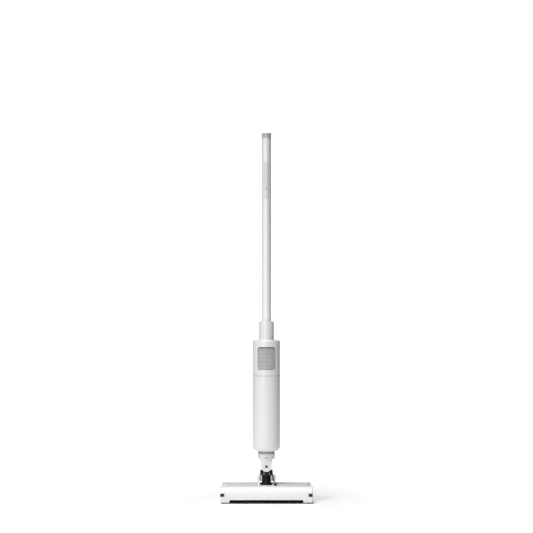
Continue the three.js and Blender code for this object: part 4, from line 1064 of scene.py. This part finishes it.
# The side lugs carry the tilting axis; their grey is painted shade beside the hose.
for side, hand in SIDES:
    x = span(side, BOSS_INSIDE, gimbal_high.x)
    ear_low = (x[0], STICK_Y - lug_round, gimbal_low.z)
    ear = lug(ear_low, (x[1], STICK_Y + lug_round, band_low + 5), 1, False, 14)
    ear = cut(ear, rod_along("x", TILT_BORE, -40, 40, (0, STICK_Y, TILT_Z)))
    finish(ear, "cross_ear_painted_shade_" + hand, "gimbal", "mid_grey_plastic", ["gimbal"], soften=0.5)

# %% [markdown]
# Two small grey blocks on the front of the black band paint two highlights on it. Each is a rounded block
# that stands a little proud of the band.

# %% Band blocks with painted highlights
band_middle = (band_low + band_high) / 2
# Grey blocks on the black band: their grey is painted highlight.
for side, hand in SIDES:
    x = 7.6 * side + 0.9
    face_y = STICK_Y - ((band_inside + BAND_WALL) ** 2 - x * x) ** 0.5
    highlight_block_high = (x + 1.2, face_y + 1.2, band_middle + 4)
    highlight_block = rounded_block((x - 1.2, face_y - 0.5, band_middle - 5), highlight_block_high, 0.8)
    finish(highlight_block, "band_highlight_block_" + hand, "gimbal", "mid_grey_plastic", soften=0.2)

# %% [markdown]
# The tilting pins have round white caps on the outside of the head's cheeks, each with a shallow dish.

# %% Tilting pins
for side, hand in SIDES:
    low, high = box_of("tilt_pin_" + hand)
    inner, outer = sorted([abs(low.x), abs(high.x)])
    outer -= 0.7
    cap_radius = (high.z - low.z) / 2
    line = [
        (0, inner),
        (3.2, inner),
        (3.2, outer - 1.2),
        (cap_radius, outer - 1.2, 0.2),
        (cap_radius, outer, 0.7),
        (cap_radius - 1.6, outer),
        (cap_radius - 2.1, outer - 0.5),
        (0, outer - 0.5),
    ]
    pin = laid_along(turned(line, centre=(0, 0), steps=48), "x", (0, STICK_Y, TILT_Z))
    if side < 0:
        bmesh.ops.scale(pin, verts=pin.verts, vec=(-1, 1, 1))
    finish(pin, "tilt_pin_cap_" + hand, "head", "pale_grey_plastic", ["tilt_pin_" + hand], soften=0)

# %% [markdown]
# ## Hoses and the motor's lead
#
# A corrugated hose bends in two places: the lower part where the stick tilts, the upper part where it
# swings. Each part is turned from a wavy line of rounded ribs.

# %% Ribbed hoses
HOSE_RADIUS = box_of("hose_lower")[1].x - 0.3
HOSE_SLICES = 8
RIB_PITCH = 4.0
# How far up its pitch each point of a rib lies, and how deep below the crest.
ONE_RIB = [(0.0, 1.5), (0.14, 0.5), (0.3, 0.05), (0.5, 0), (0.66, 0.3), (0.8, 1.2), (0.9, 1.6)]


def ribbed(radius, low_z, high_z, pitch):
    """A closed line that goes up the outside in rounded ribs and down the plain inside."""
    count = round((high_z - low_z) / pitch)
    pitch = (high_z - low_z) / count
    line = []
    for rib in range(count):
        start = low_z + rib * pitch
        for share, sunk in ONE_RIB:
            line.append((radius - sunk, start + share * pitch))
    line.append((radius - 1.5, high_z))
    inner = radius - 2.8
    return line + [(inner, high_z), (inner, low_z)]


def hose(node, name, parent, child):
    low, high = box_of(node)
    bm = turned(ribbed(HOSE_RADIUS, low.z, high.z, RIB_PITCH), closed=True, steps=64)
    for step in range(1, HOSE_SLICES):
        sliced(bm, (0, 0, low.z + step * (high.z - low.z) / HOSE_SLICES), (0, 0, 1))
    thing = dressed(bm, name, "hose_plastic", 60)
    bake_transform(thing)
    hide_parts(node)
    print(name, "has", len(thing.data.polygons), "faces between", parent, "and", child)


hose("hose_lower", "tilt_hose", "head", "gimbal")
hose("hose_upper", "swing_hose", "gimbal", "neck")

# %% [markdown]
# The brush motor gets its power through a short lead at the right of the hose. It is a curve with a round
# bevel, made a mesh. At its foot a tapered rubber boot keeps it from kinking.

# %% Lead and boot
COVER_TOP = box_of("motor_lead")[0].z - GAP
BOOT_AT = (24.4, -15.6)
BOOT_FOOT = COVER_TOP - 4
lead_points = [
    (14.6, -1.9, TILT_Z + 11.5),
    (16.6, -3.3, TILT_Z + 7.5),
    (18.6, -5.2, TILT_Z + 1.5),
    (20.2, -8.6, TILT_Z - 5),
    (22.4, -12.4, COVER_TOP + 5),
    (BOOT_AT[0], BOOT_AT[1], COVER_TOP + 1.5),
]
curve = bpy.data.curves.new("lead_path", "CURVE")
curve.dimensions = "3D"
curve.bevel_depth = 1.3 * MM
curve.bevel_resolution = 4
curve.resolution_u = 10
curve.use_fill_caps = True
line = curve.splines.new("BEZIER")
line.bezier_points.add(len(lead_points) - 1)
for point, spot in zip(line.bezier_points, lead_points):
    point.co = Vector(spot) * MM
    point.handle_left_type = point.handle_right_type = "AUTO"
path = shown("lead_path", curve)
bpy.context.view_layer.update()
lead_mesh = bpy.data.meshes.new_from_object(path.evaluated_get(bpy.context.evaluated_depsgraph_get()))
bpy.data.objects.remove(path)
lead_mesh.materials.clear()
lead_mesh.materials.append(finishes["black_rubber"])
lead_mesh.shade_smooth()
lead = shown("brush_lead", lead_mesh)
made.append("brush_lead")
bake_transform(lead)
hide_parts("motor_lead")

boot_line = [
    (0, BOOT_FOOT),
    (4.6, BOOT_FOOT, 0.4),
    (4.4, BOOT_FOOT + 2.2, 0.5),
    (3.6, BOOT_FOOT + 3.0),
    (3.7, BOOT_FOOT + 3.9, 0.2),
    (3.3, BOOT_FOOT + 4.7),
    (3.3, BOOT_FOOT + 5.6, 0.2),
    (2.1, BOOT_FOOT + 7.2, 0.4),
    (0, BOOT_FOOT + 7.2),
]
boot = turned(boot_line, steps=40, centre=BOOT_AT)
finish(boot, "lead_boot", "head", "black_rubber", ["motor_lead"], soften=0)
print("lead runs through", len(lead_points), "points")

# %% [markdown]
# ## The floor head
#
# The roller turns inside a white half-round hood. The hood is a bent wall: one rectangular section is
# spun about the roller's axis, from behind the crest down to under the front. The slit for the air is cut
# through its foot, and its long edges are rounded into a lip.

# %% The roller's hood
roller_low, roller_high = box_of("roller_bristles")
hood_low, hood_high = box_of("roller_hood")
ROLLER_Y = (roller_low.y + roller_high.y) / 2
ROLLER_Z = (roller_low.z + roller_high.z) / 2
HOOD_RADIUS = hood_high.z - ROLLER_Z
HOOD_WALL = 2.2
REAR_ANGLE = radians(62)
UNDER_ANGLE = pi + asin((ROLLER_Z - hood_low.z) / HOOD_RADIUS)
HEAD_FRONT = hood_low.y
SLIT_HALF = 100.5
SLIT_TOP = 10.6


def about_roller(bm, spin_from, angle, steps):
    """Spins what stands in a bmesh about the roller's axis."""
    start = Matrix.Rotation(spin_from, 3, "X")
    bmesh.ops.rotate(bm, verts=bm.verts, cent=(0, 0, 0), matrix=start)
    section = bm.faces[:] + bm.edges[:] + bm.verts[:]
    bmesh.ops.spin(bm, geom=section, cent=(0, 0, 0), axis=(1, 0, 0), angle=angle, steps=steps)
    return moved(merged(bm), (0, ROLLER_Y, ROLLER_Z))


def bent_wall(half, outer, inner, start, end, steps=64):
    bm = bmesh.new()
    section = [(-half, outer, 0), (half, outer, 0), (half, inner, 0), (-half, inner, 0)]
    bm.faces.new([bm.verts.new(corner) for corner in section])
    return about_roller(bm, start, end - start, steps)


hood = bent_wall(hood_high.x, HOOD_RADIUS, HOOD_RADIUS - HOOD_WALL, REAR_ANGLE, UNDER_ANGLE)
slit = rounded_block((-SLIT_HALF, HEAD_FRONT - 3, -4), (SLIT_HALF, ROLLER_Y - 4, SLIT_TOP), 2.2)
finish(cut(hood, slit), "hood", "head", "white_shell", ["roller_hood"], soften=0.7, segments=3)

# %% [markdown]
# The end caps close the hood. A cap's outline is the hood's curve and two straight sides, made from one
# vertex spun into an arc and three more. The face is extruded outwards and its outer rim is rounded, then
# a notch is cut for the bumper.

# %% End caps
END_X = 112.15
CHAMBER_BACK = -8.3
HEAD_HALF = box_of("end_cap_right")[1].x


def end_cap(side):
    bm = bmesh.new()
    first = bm.verts.new((side * END_X, HOOD_RADIUS * cos(REAR_ANGLE), HOOD_RADIUS * sin(REAR_ANGLE)))
    sweep = UNDER_ANGLE - REAR_ANGLE
    bmesh.ops.spin(bm, geom=[first], cent=(0, 0, 0), axis=(1, 0, 0), angle=sweep, steps=48, use_merge=False)
    moved(bm, (0, ROLLER_Y, ROLLER_Z))
    arc = list(bm.verts)
    back_top = ROLLER_Z + HOOD_RADIUS * sin(REAR_ANGLE) - 3
    arc += [bm.verts.new((side * END_X, CHAMBER_BACK, z)) for z in (hood_low.z, back_top)]
    face = bm.faces.new(arc)
    outer = bmesh.ops.extrude_face_region(bm, geom=[face])["geom"]
    bmesh.ops.translate(bm, verts=corners_in(outer), vec=(side * (HEAD_HALF - END_X), 0, 0))
    bmesh.ops.recalc_face_normals(bm, faces=bm.faces)
    rim = edges_at(bm, lambda co: abs(co.x - side * HEAD_HALF) < 0.001)
    round_edges(bm, rim, 3, 6)
    return bm


bumper_low, bumper_high = box_of("bumper_right")
NOTCH = 0.3


def bumper(side, grow=0.0):
    x = span(side, bumper_low.x - grow, bumper_high.x + (2 if grow else 0))
    front = bumper_low.y - (2 if grow else 0)
    low = (x[0], front, bumper_low.z - grow)
    high = (x[1], bumper_high.y + grow, bumper_high.z + grow)
    bm = block(low, high)
    if not grow:
        outer = side * bumper_high.x
        upright = edges_along(bm, 2, lambda m: abs(m.x - outer) < 0.1 and m.y < bumper_low.y + 0.1)
        round_edges(bm, upright, 4.2, 8)
    return bm


for side, hand in SIDES:
    capped = cut(end_cap(side), bumper(side, NOTCH))
    finish(capped, "end_" + hand, "head", "white_shell", ["end_cap_" + hand], soften=0.4)
    pad = bumper(side)
    finish(pad, "bumper_pad_" + hand, "head", "black_rubber", ["bumper_" + hand], soften=0.9, segments=4)

# %% [markdown]
# Behind the hood lies the cover, a low box with a top that rolls down at the back. It begins as a block.
# One large bevel makes the roll, a medium one rounds the upright corners at the back, and small ones
# soften the rest. The inside is cut out with a smaller block, and the corners in front are cut away for
# the end caps. A step along the front leaves the dark line between cover and hood.

# %% The rear cover
cover_low, cover_high = box_of("rear_cover")
COVER_FRONT = ROLLER_Y + HOOD_RADIUS * cos(REAR_ANGLE) + 0.9
CHAMBER_TOP = 40.3
cheek_in, cheek_out = 19.0, 24.2


def cover_block(inset):
    low = Vector((cover_low.x + inset, COVER_FRONT + inset, cover_low.z - (20 if inset else 0)))
    high = Vector((cover_high.x - inset, cover_high.y - inset, COVER_TOP - inset))
    bm = block(low, high)
    round_edges(bm, edges_along(bm, 2, lambda m: m.y > 0), 8 - inset, 8)

    def at_top(front):
        return [
            edge
            for edge in bm.edges
            if all(abs(v.co.z - high.z) < 0.001 for v in edge.verts)
            and len(edge.link_faces) == 2
            and any(abs(face.normal.z) < 0.1 for face in edge.link_faces)
            and (max(v.co.y for v in edge.verts) < low.y + 0.1) == front
        ]

    round_edges(bm, at_top(False), 6.5 - inset, 6)
    round_edges(bm, at_top(True), 2.6 - inset, 4)
    return bm


def rolled(bm, radius, inset=0.0):
    """Cuts the back of the cover's top to a long roll."""
    reach = Vector((cover_high.x * 2, cover_high.y - inset, COVER_TOP - inset))
    tool = block((-reach.x, reach.y - radius, reach.z - radius), (reach.x, reach.y + 20, reach.z + 20))
    roll = rod_along("x", radius, -reach.x - 5, reach.x + 5, (0, reach.y - radius, reach.z - radius), 96)
    return cut(bm, cut(tool, roll))


cover = rolled(cover_block(0.0), 20)
wide = cover_high.x + 5
corner_walls = []
for side in (-1, 1):
    x = span(side, END_X - 0.3 - HOOD_WALL, wide)
    corner_walls.append(block((x[0], HEAD_FRONT, -40), (x[1], CHAMBER_BACK + GAP + HOOD_WALL, 70)))
inside = cut(rolled(cover_block(HOOD_WALL), 20 - HOOD_WALL, HOOD_WALL), *corner_walls)
under_front = block((-wide, HEAD_FRONT, -5), (wide, CHAMBER_BACK + HOOD_WALL + GAP, CHAMBER_TOP))
notches = []
for side in (-1, 1):
    x = span(side, END_X - 0.3, wide)
    notch = rounded_block((x[0], HEAD_FRONT, -5), (x[1], CHAMBER_BACK + GAP, 60), 0.5, 2)
    notches.append(notch)
groove = block((-END_X, COVER_FRONT - 3, 30), (END_X, COVER_FRONT + 1.5, ROLLER_Z + HOOD_RADIUS))
cover = cut(cover, inside, under_front, groove, *notches)
print("cover before its fittings:", len(cover.faces), "faces")

# %% [markdown]
# Two cheeks stand on the cover and carry the tilting pins, with a fillet at their feet, and a nose
# reaches forward over the hood's crest. The cheeks are lugs with round tops. The fillet is a second,
# lower lug with hollowed sides: a wide foot from which two rods are cut.

# %% Cheeks and nose


def cheek(side):
    x = span(side, cheek_in, cheek_out)
    sunk_z = COVER_TOP - 1.5
    foot_half, hollow = 15, 9
    tall = lug((x[0], STICK_Y - lug_round, sunk_z), (x[1], STICK_Y + lug_round, cover_high.z), 1, True, 16)
    foot = block((x[0], STICK_Y - foot_half, sunk_z), (x[1], STICK_Y + foot_half, COVER_TOP + hollow))
    hollows = []
    for way in (-1, 1):
        centre = (0, STICK_Y + way * (lug_round + hollow), COVER_TOP + hollow)
        hollows.append(rod_along("x", hollow, x[0] - 2, x[1] + 2, centre, 64))
    return joined(tall, cut(foot, *hollows))


def nose():
    half, front, back = 22.2, ROLLER_Y - 1, CHAMBER_BACK - 2
    crest = ROLLER_Z + HOOD_RADIUS + GAP
    bm = block((-half, front, crest), (half, back, COVER_TOP - 0.05))
    round_edges(bm, edges_along(bm, 2, lambda m: m.y < front + 1), 9, 12)
    on_cut = sliced(bm, (0, front + 9, COVER_TOP - 0.05), (0, -3.0, 9), True)
    bmesh.ops.holes_fill(bm, edges=[item for item in on_cut if isinstance(item, bmesh.types.BMEdge)])
    bmesh.ops.recalc_face_normals(bm, faces=bm.faces)
    return bm


def dish():
    """A shallow dish around the hose's foot, open to the front over the nose."""
    far_corner = (DISH_HALF, STICK_Y + DISH_HALF, 12)
    bm = rounded_block((-DISH_HALF, ROLLER_Y - 9, 0), far_corner, DISH_HALF - 0.1, 2)
    tilt_down = Matrix.Rotation(-radians(3.6), 3, "X")
    bmesh.ops.rotate(bm, verts=bm.verts, cent=(0, STICK_Y, 0), matrix=tilt_down)
    return moved(bm, (0, 0, DISH_FLOOR))


DISH_HALF = 16.6
DISH_FLOOR = COVER_TOP - 4.2
boot_x, boot_y = BOOT_AT
pocket_top = (boot_x + 5.6, boot_y + 5.4, COVER_TOP + 12)
pocket = rounded_block((boot_x - 5.6, COVER_FRONT - 8, BOOT_FOOT), pocket_top, 2, 2)
bed_front = COVER_FRONT + 2
bed_top = COVER_TOP - 0.5
pocket_bed = block((boot_x - 6.8, bed_front, BOOT_FOOT - 2), (boot_x + 6.8, boot_y + 6.8, bed_top))
bed_back = STICK_Y + DISH_HALF + 1.2
bed = block((-DISH_HALF - 1.2, bed_front, DISH_FLOOR - 2), (DISH_HALF + 1.2, bed_back, bed_top))
cover = joined(cover, nose(), bed, pocket_bed, cheek(-1), cheek(1))
hose_radius = box_of("hose_lower")[1].x
hose_well = rod(hose_radius + 0.4, 30, 60)
cover = cut(cover, hose_well, dish(), pocket, rod_along("x", TILT_BORE, -60, 60, (0, STICK_Y, TILT_Z)))
finish(cover, "cover", "head", "white_shell", ["rear_cover"], soften=0.45, segments=3)

# %% [markdown]
# The hose meets the cover in a soft cuff, a ring that hides the edge of the hole.

# %% Hose cuff
cuff_foot = DISH_FLOOR - 0.8
cuff_line = [
    (HOSE_RADIUS - 0.3, cuff_foot - 1),
    (hose_radius + 0.1, cuff_foot - 1),
    (hose_radius + 0.1, cuff_foot),
    (hose_radius + 0.4, cuff_foot, 0.1),
    (hose_radius + 0.1, cuff_foot + 2.4, 0.9),
    (HOSE_RADIUS - 0.3, cuff_foot + 3.2, 0.3),
]
finish(turned(cuff_line, closed=True), "hose_cuff", "head", "black_rubber", soften=0)

# %% [markdown]
# ## The roller
#
# Six rows of bristle run around the roller in a gentle twist, so that they comb dust towards the middle.
# Each tuft is a small cone that opens outwards, with six sides. One tuft is made and copied along the row
# with a rotation that grows from the middle to both ends. Between the rows lies a dense, short pile.

# %% Roller core and bristles
core_low, core_high = box_of("roller_core")
core_radius = (core_high.z - core_low.z) / 2
bristle_radius = (roller_high.z - roller_low.z) / 2
ROWS = 6
TUFT_PITCH = 3.3
TWIST = radians(38)
tuft_radius = min(20.3, bristle_radius)


def tuft_at(bm, x, turn):
    depth = tuft_radius - core_radius
    place_at = Matrix.Rotation(turn, 4, "X") @ Matrix.Translation((x, 0, core_radius + depth / 2))
    bmesh.ops.create_cone(
        bm, cap_ends=True, segments=6, radius1=0.9, radius2=1.75, depth=depth, matrix=place_at
    )


bristles = bmesh.new()
reach = roller_high.x - 2
steps_along = int(2 * reach / TUFT_PITCH)
for row in range(ROWS):
    for step in range(steps_along + 1):
        x = -reach + step * 2 * reach / steps_along
        tuft_at(bristles, x, row * 2 * pi / ROWS + TWIST * abs(x) / reach)
moved(bristles, (0, ROLLER_Y, ROLLER_Z))
# The pile fills the gaps between the rows, so the slit under the hood shows near-black bristle: partly
# painted shade.
pile_radius = tuft_radius - 1.3
pile_end = reach + 1
pile_line = [
    (core_radius, -pile_end),
    (pile_radius, -pile_end, 0.8),
    (pile_radius, pile_end, 0.8),
    (core_radius, pile_end),
]
pile = turned(pile_line, closed=True, steps=72, centre=(0, 0))
bristles.from_mesh(mesh_of(laid_along(pile, "x", (0, ROLLER_Y, ROLLER_Z)), "pile"))
finish(bristles, "bristle_rows", "roller", "bristle", ["roller_bristles"], soften=0, crease=50)

core_line = [
    (0, core_low.x),
    (3, core_low.x),
    (3, roller_low.x - 1),
    (core_radius, roller_low.x - 1, 1),
    (core_radius, roller_high.x + 1, 1),
    (3, roller_high.x + 1),
    (3, core_high.x),
    (0, core_high.x),
]
core = laid_along(turned(core_line, centre=(0, 0), steps=64), "x", (0, ROLLER_Y, ROLLER_Z))
finish(core, "roller_drum", "roller", "mid_grey_plastic", ["roller_core"], soften=0.2)

# %% [markdown]
# Two wheels at the back carry the head. Each has a rubber-like tread with grooves around it, and a dished
# side.

# %% Wheels
for side, hand in SIDES:
    low, high = box_of("wheel_" + hand)
    middle = (low + high) / 2
    radius = (high.z - low.z) / 2
    half = 5
    hub = [(0, half + 2), (2, half + 2, 0.4), (2, half - 1.2)]
    dished = [(radius - 2.4, half - 1.2), (radius - 1.8, half)]
    shoulder_line = [(radius - 0.9, half), (radius, half - 0.9)]
    tread = [(radius, 2.6), (radius - 0.8, 2.2), (radius - 0.8, 1.4), (radius, 1.0)]
    half_line = hub + dished + shoulder_line + tread
    wheel_line = half_line + [(point[0], -point[1], *point[2:]) for point in reversed(half_line)]
    wheel = laid_along(turned(wheel_line, centre=(0, 0), steps=48), "x", middle)
    node = "wheel_" + hand
    finish(wheel, "floor_" + node, node, "dark_grey_plastic", [node], soften=0)

# %% [markdown]
# Underneath are the glides, felt-smooth pads that keep the head off the floor, and four screws with a
# cross recess in their heads.

# %% Glides and screws
for hand in ("left", "right"):
    low, high = box_of("glide_" + hand)
    pad = rounded_block(low, high, 3.5, 2)
    finish(pad, "glide_pad_" + hand, "head", "dark_grey_plastic", ["glide_" + hand], soften=0.5)

for index in range(1, 5):
    node = f"base_screw_{index}"
    low, high = box_of(node)
    middle = (low + high) / 2
    head_top = low.z + 1.3
    head_radius = (high.x - low.x) / 2
    head_line = [(0, low.z), (head_radius, low.z, 0.5), (head_radius, head_top)]
    shank_line = [(1.5, head_top), (1.5, high.z), (0, high.z)]
    screw = turned(head_line + shank_line, steps=32, centre=(middle.x, middle.y))
    arms = []
    for a, b in [(1.9, 0.4), (0.4, 1.9)]:
        arm_low = (middle.x - a, middle.y - b, low.z - 1)
        arms.append(block(arm_low, (middle.x + a, middle.y + b, low.z + 0.8)))
    finish(cut(screw, *arms), f"screw_{index}", "head", "steel", [node], soften=0)

# %% [markdown]
# ## Parts that keep their own shape
#
# The parts inside already have their true shapes from the frame, so they stay as they are and only take a
# finish. A table of finishes and their nodes does it.

# %% Finishes for the inner parts
carried = {
    "pale_grey_plastic": ["chassis", "inlet_duct"],
    "dark_grey_plastic": ["head_duct", "motor_pulley", "roller_pulley", "battery_holder", "impeller"],
    "mid_grey_plastic": ["filter_frame"],
    "black_rubber": ["drive_belt", "inlet_flap", "pole_wire"],
    "steel": ["brush_motor", "roller_bearing_left", "roller_bearing_right", "suction_motor"],
    "filter_paper": ["filter_pleats"],
    "foam": ["exhaust_filter"],
    "cell_wrap": ["battery_pack"],
    "board": ["main_board"],
}
dressed_nodes = []
for look, nodes in carried.items():
    for node in nodes:
        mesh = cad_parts[node].data
        for place_in in range(len(mesh.materials)):
            mesh.materials[place_in] = finishes[look]
        dressed_nodes.append(node)
print("carried-over parts:", len(dressed_nodes))
left = sorted(n for n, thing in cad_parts.items() if not thing.hide_render and n not in dressed_nodes)
print("frame parts with no finish yet:", left)

# %% [markdown]
# ## Studio
#
# The floor is a pale sheet and the background is white. A wide overhead light brings the floor up to
# white and bounces off it onto everything above. It leans to the left, so the shadow falls softly to the
# right. A large softbox in front gives each round piece its bright left-hand side and leaves the
# right-hand side grey. Away from the machine the sheet glows faintly, so that its far side melts into the
# background; near it there is no glow, which keeps the shadows under the head dark.

# %% Floor
FLOOR_HALF = 1.3
FLOOR_GLOW = 0.17
GLOW_FROM = 0.16
GLOW_TO = 0.5
floor_bm = bmesh.new()
bmesh.ops.create_grid(floor_bm, x_segments=2, y_segments=2, size=FLOOR_HALF)
floor = shown("studio_floor", mesh_of(floor_bm, "studio_floor"))
floor_tree, floor_shader = new_finish("floor_paper", (0.98, 0.98, 0.98), 0.7)
floor_at = place(floor_tree)
far_out = add(floor_tree, "VectorMath", {0: floor_at}, operation="LENGTH").outputs["Value"]
floor_shader.inputs["Emission Color"].default_value = (1, 1, 1, 1)
glow = spread(floor_tree, far_out, 0, FLOOR_GLOW, GLOW_FROM, GLOW_TO)
floor_tree.links.new(glow, floor_shader.inputs["Emission Strength"])
paper = noise(floor_tree, floor_at, 900, 3)
bump(floor_tree, floor_shader, paper, 0.00002)
finishes["floor_paper"].cycles.emission_sampling = "NONE"
floor.data.materials.append(finishes["floor_paper"])

# %% Lights and background


def softbox(name, at, aim, size, power):
    light = bpy.data.lights.new(name, "AREA")
    light.shape = "RECTANGLE"
    light.size, light.size_y = size
    light.energy = power
    lamp = shown(name, light)
    lamp.location = at
    lamp.rotation_euler = (Vector(aim) - Vector(at)).to_track_quat("-Z", "Y").to_euler()


softbox("key_left", (-1.75, -3.6, 1.2), (0, 0, 0.55), (1.3, 2.2), 84)

sun = bpy.data.lights.new("overhead", "SUN")
sun.energy = 2.8
sun.angle = radians(32)
overhead = shown("overhead", sun)
overhead.rotation_euler = Vector((-0.12, -0.2, 1)).to_track_quat("Z", "Y").to_euler()

world = bpy.data.worlds.new("studio")
world.use_nodes = True
bpy.context.scene.world = world
nodes, links = world.node_tree.nodes, world.node_tree.links
ambient = nodes["Background"]
ambient.inputs["Color"].default_value = (1, 1, 1, 1)
ambient.inputs["Strength"].default_value = 0.04
seen = nodes.new("ShaderNodeBackground")
seen.inputs["Color"].default_value = (1, 1, 1, 1)
seen.inputs["Strength"].default_value = 1.1
chooser = nodes.new("ShaderNodeMixShader")
ray = nodes.new("ShaderNodeLightPath")
links.new(ray.outputs["Is Camera Ray"], chooser.inputs["Fac"])
links.new(ambient.outputs["Background"], chooser.inputs[1])
links.new(seen.outputs["Background"], chooser.inputs[2])
links.new(chooser.outputs["Shader"], nodes["World Output"].inputs["Surface"])
bpy.context.scene.view_settings.view_transform = "Standard"

# %% [markdown]
# The camera stands far off with a long lens, a little above the middle of the pole, and looks level. A
# long lens keeps the pole's sides parallel, and the height shows the head slightly from above.

# %% Camera
LENS = 135
SENSOR = 36
DISTANCE = 5.5
CAMERA_HEIGHT = 0.646
CAMERA_SIDE = 0.0002
camera_data = bpy.data.cameras.new("camera")
camera_data.lens = LENS
camera_data.sensor_width = SENSOR
camera = shown("camera", camera_data)
camera.location = (CAMERA_SIDE, STICK_Y * MM - DISTANCE, CAMERA_HEIGHT)
camera.rotation_euler = (pi / 2, 0, 0)
bpy.context.scene.camera = camera

# %% Pieces made
print("pieces made:", len(made))
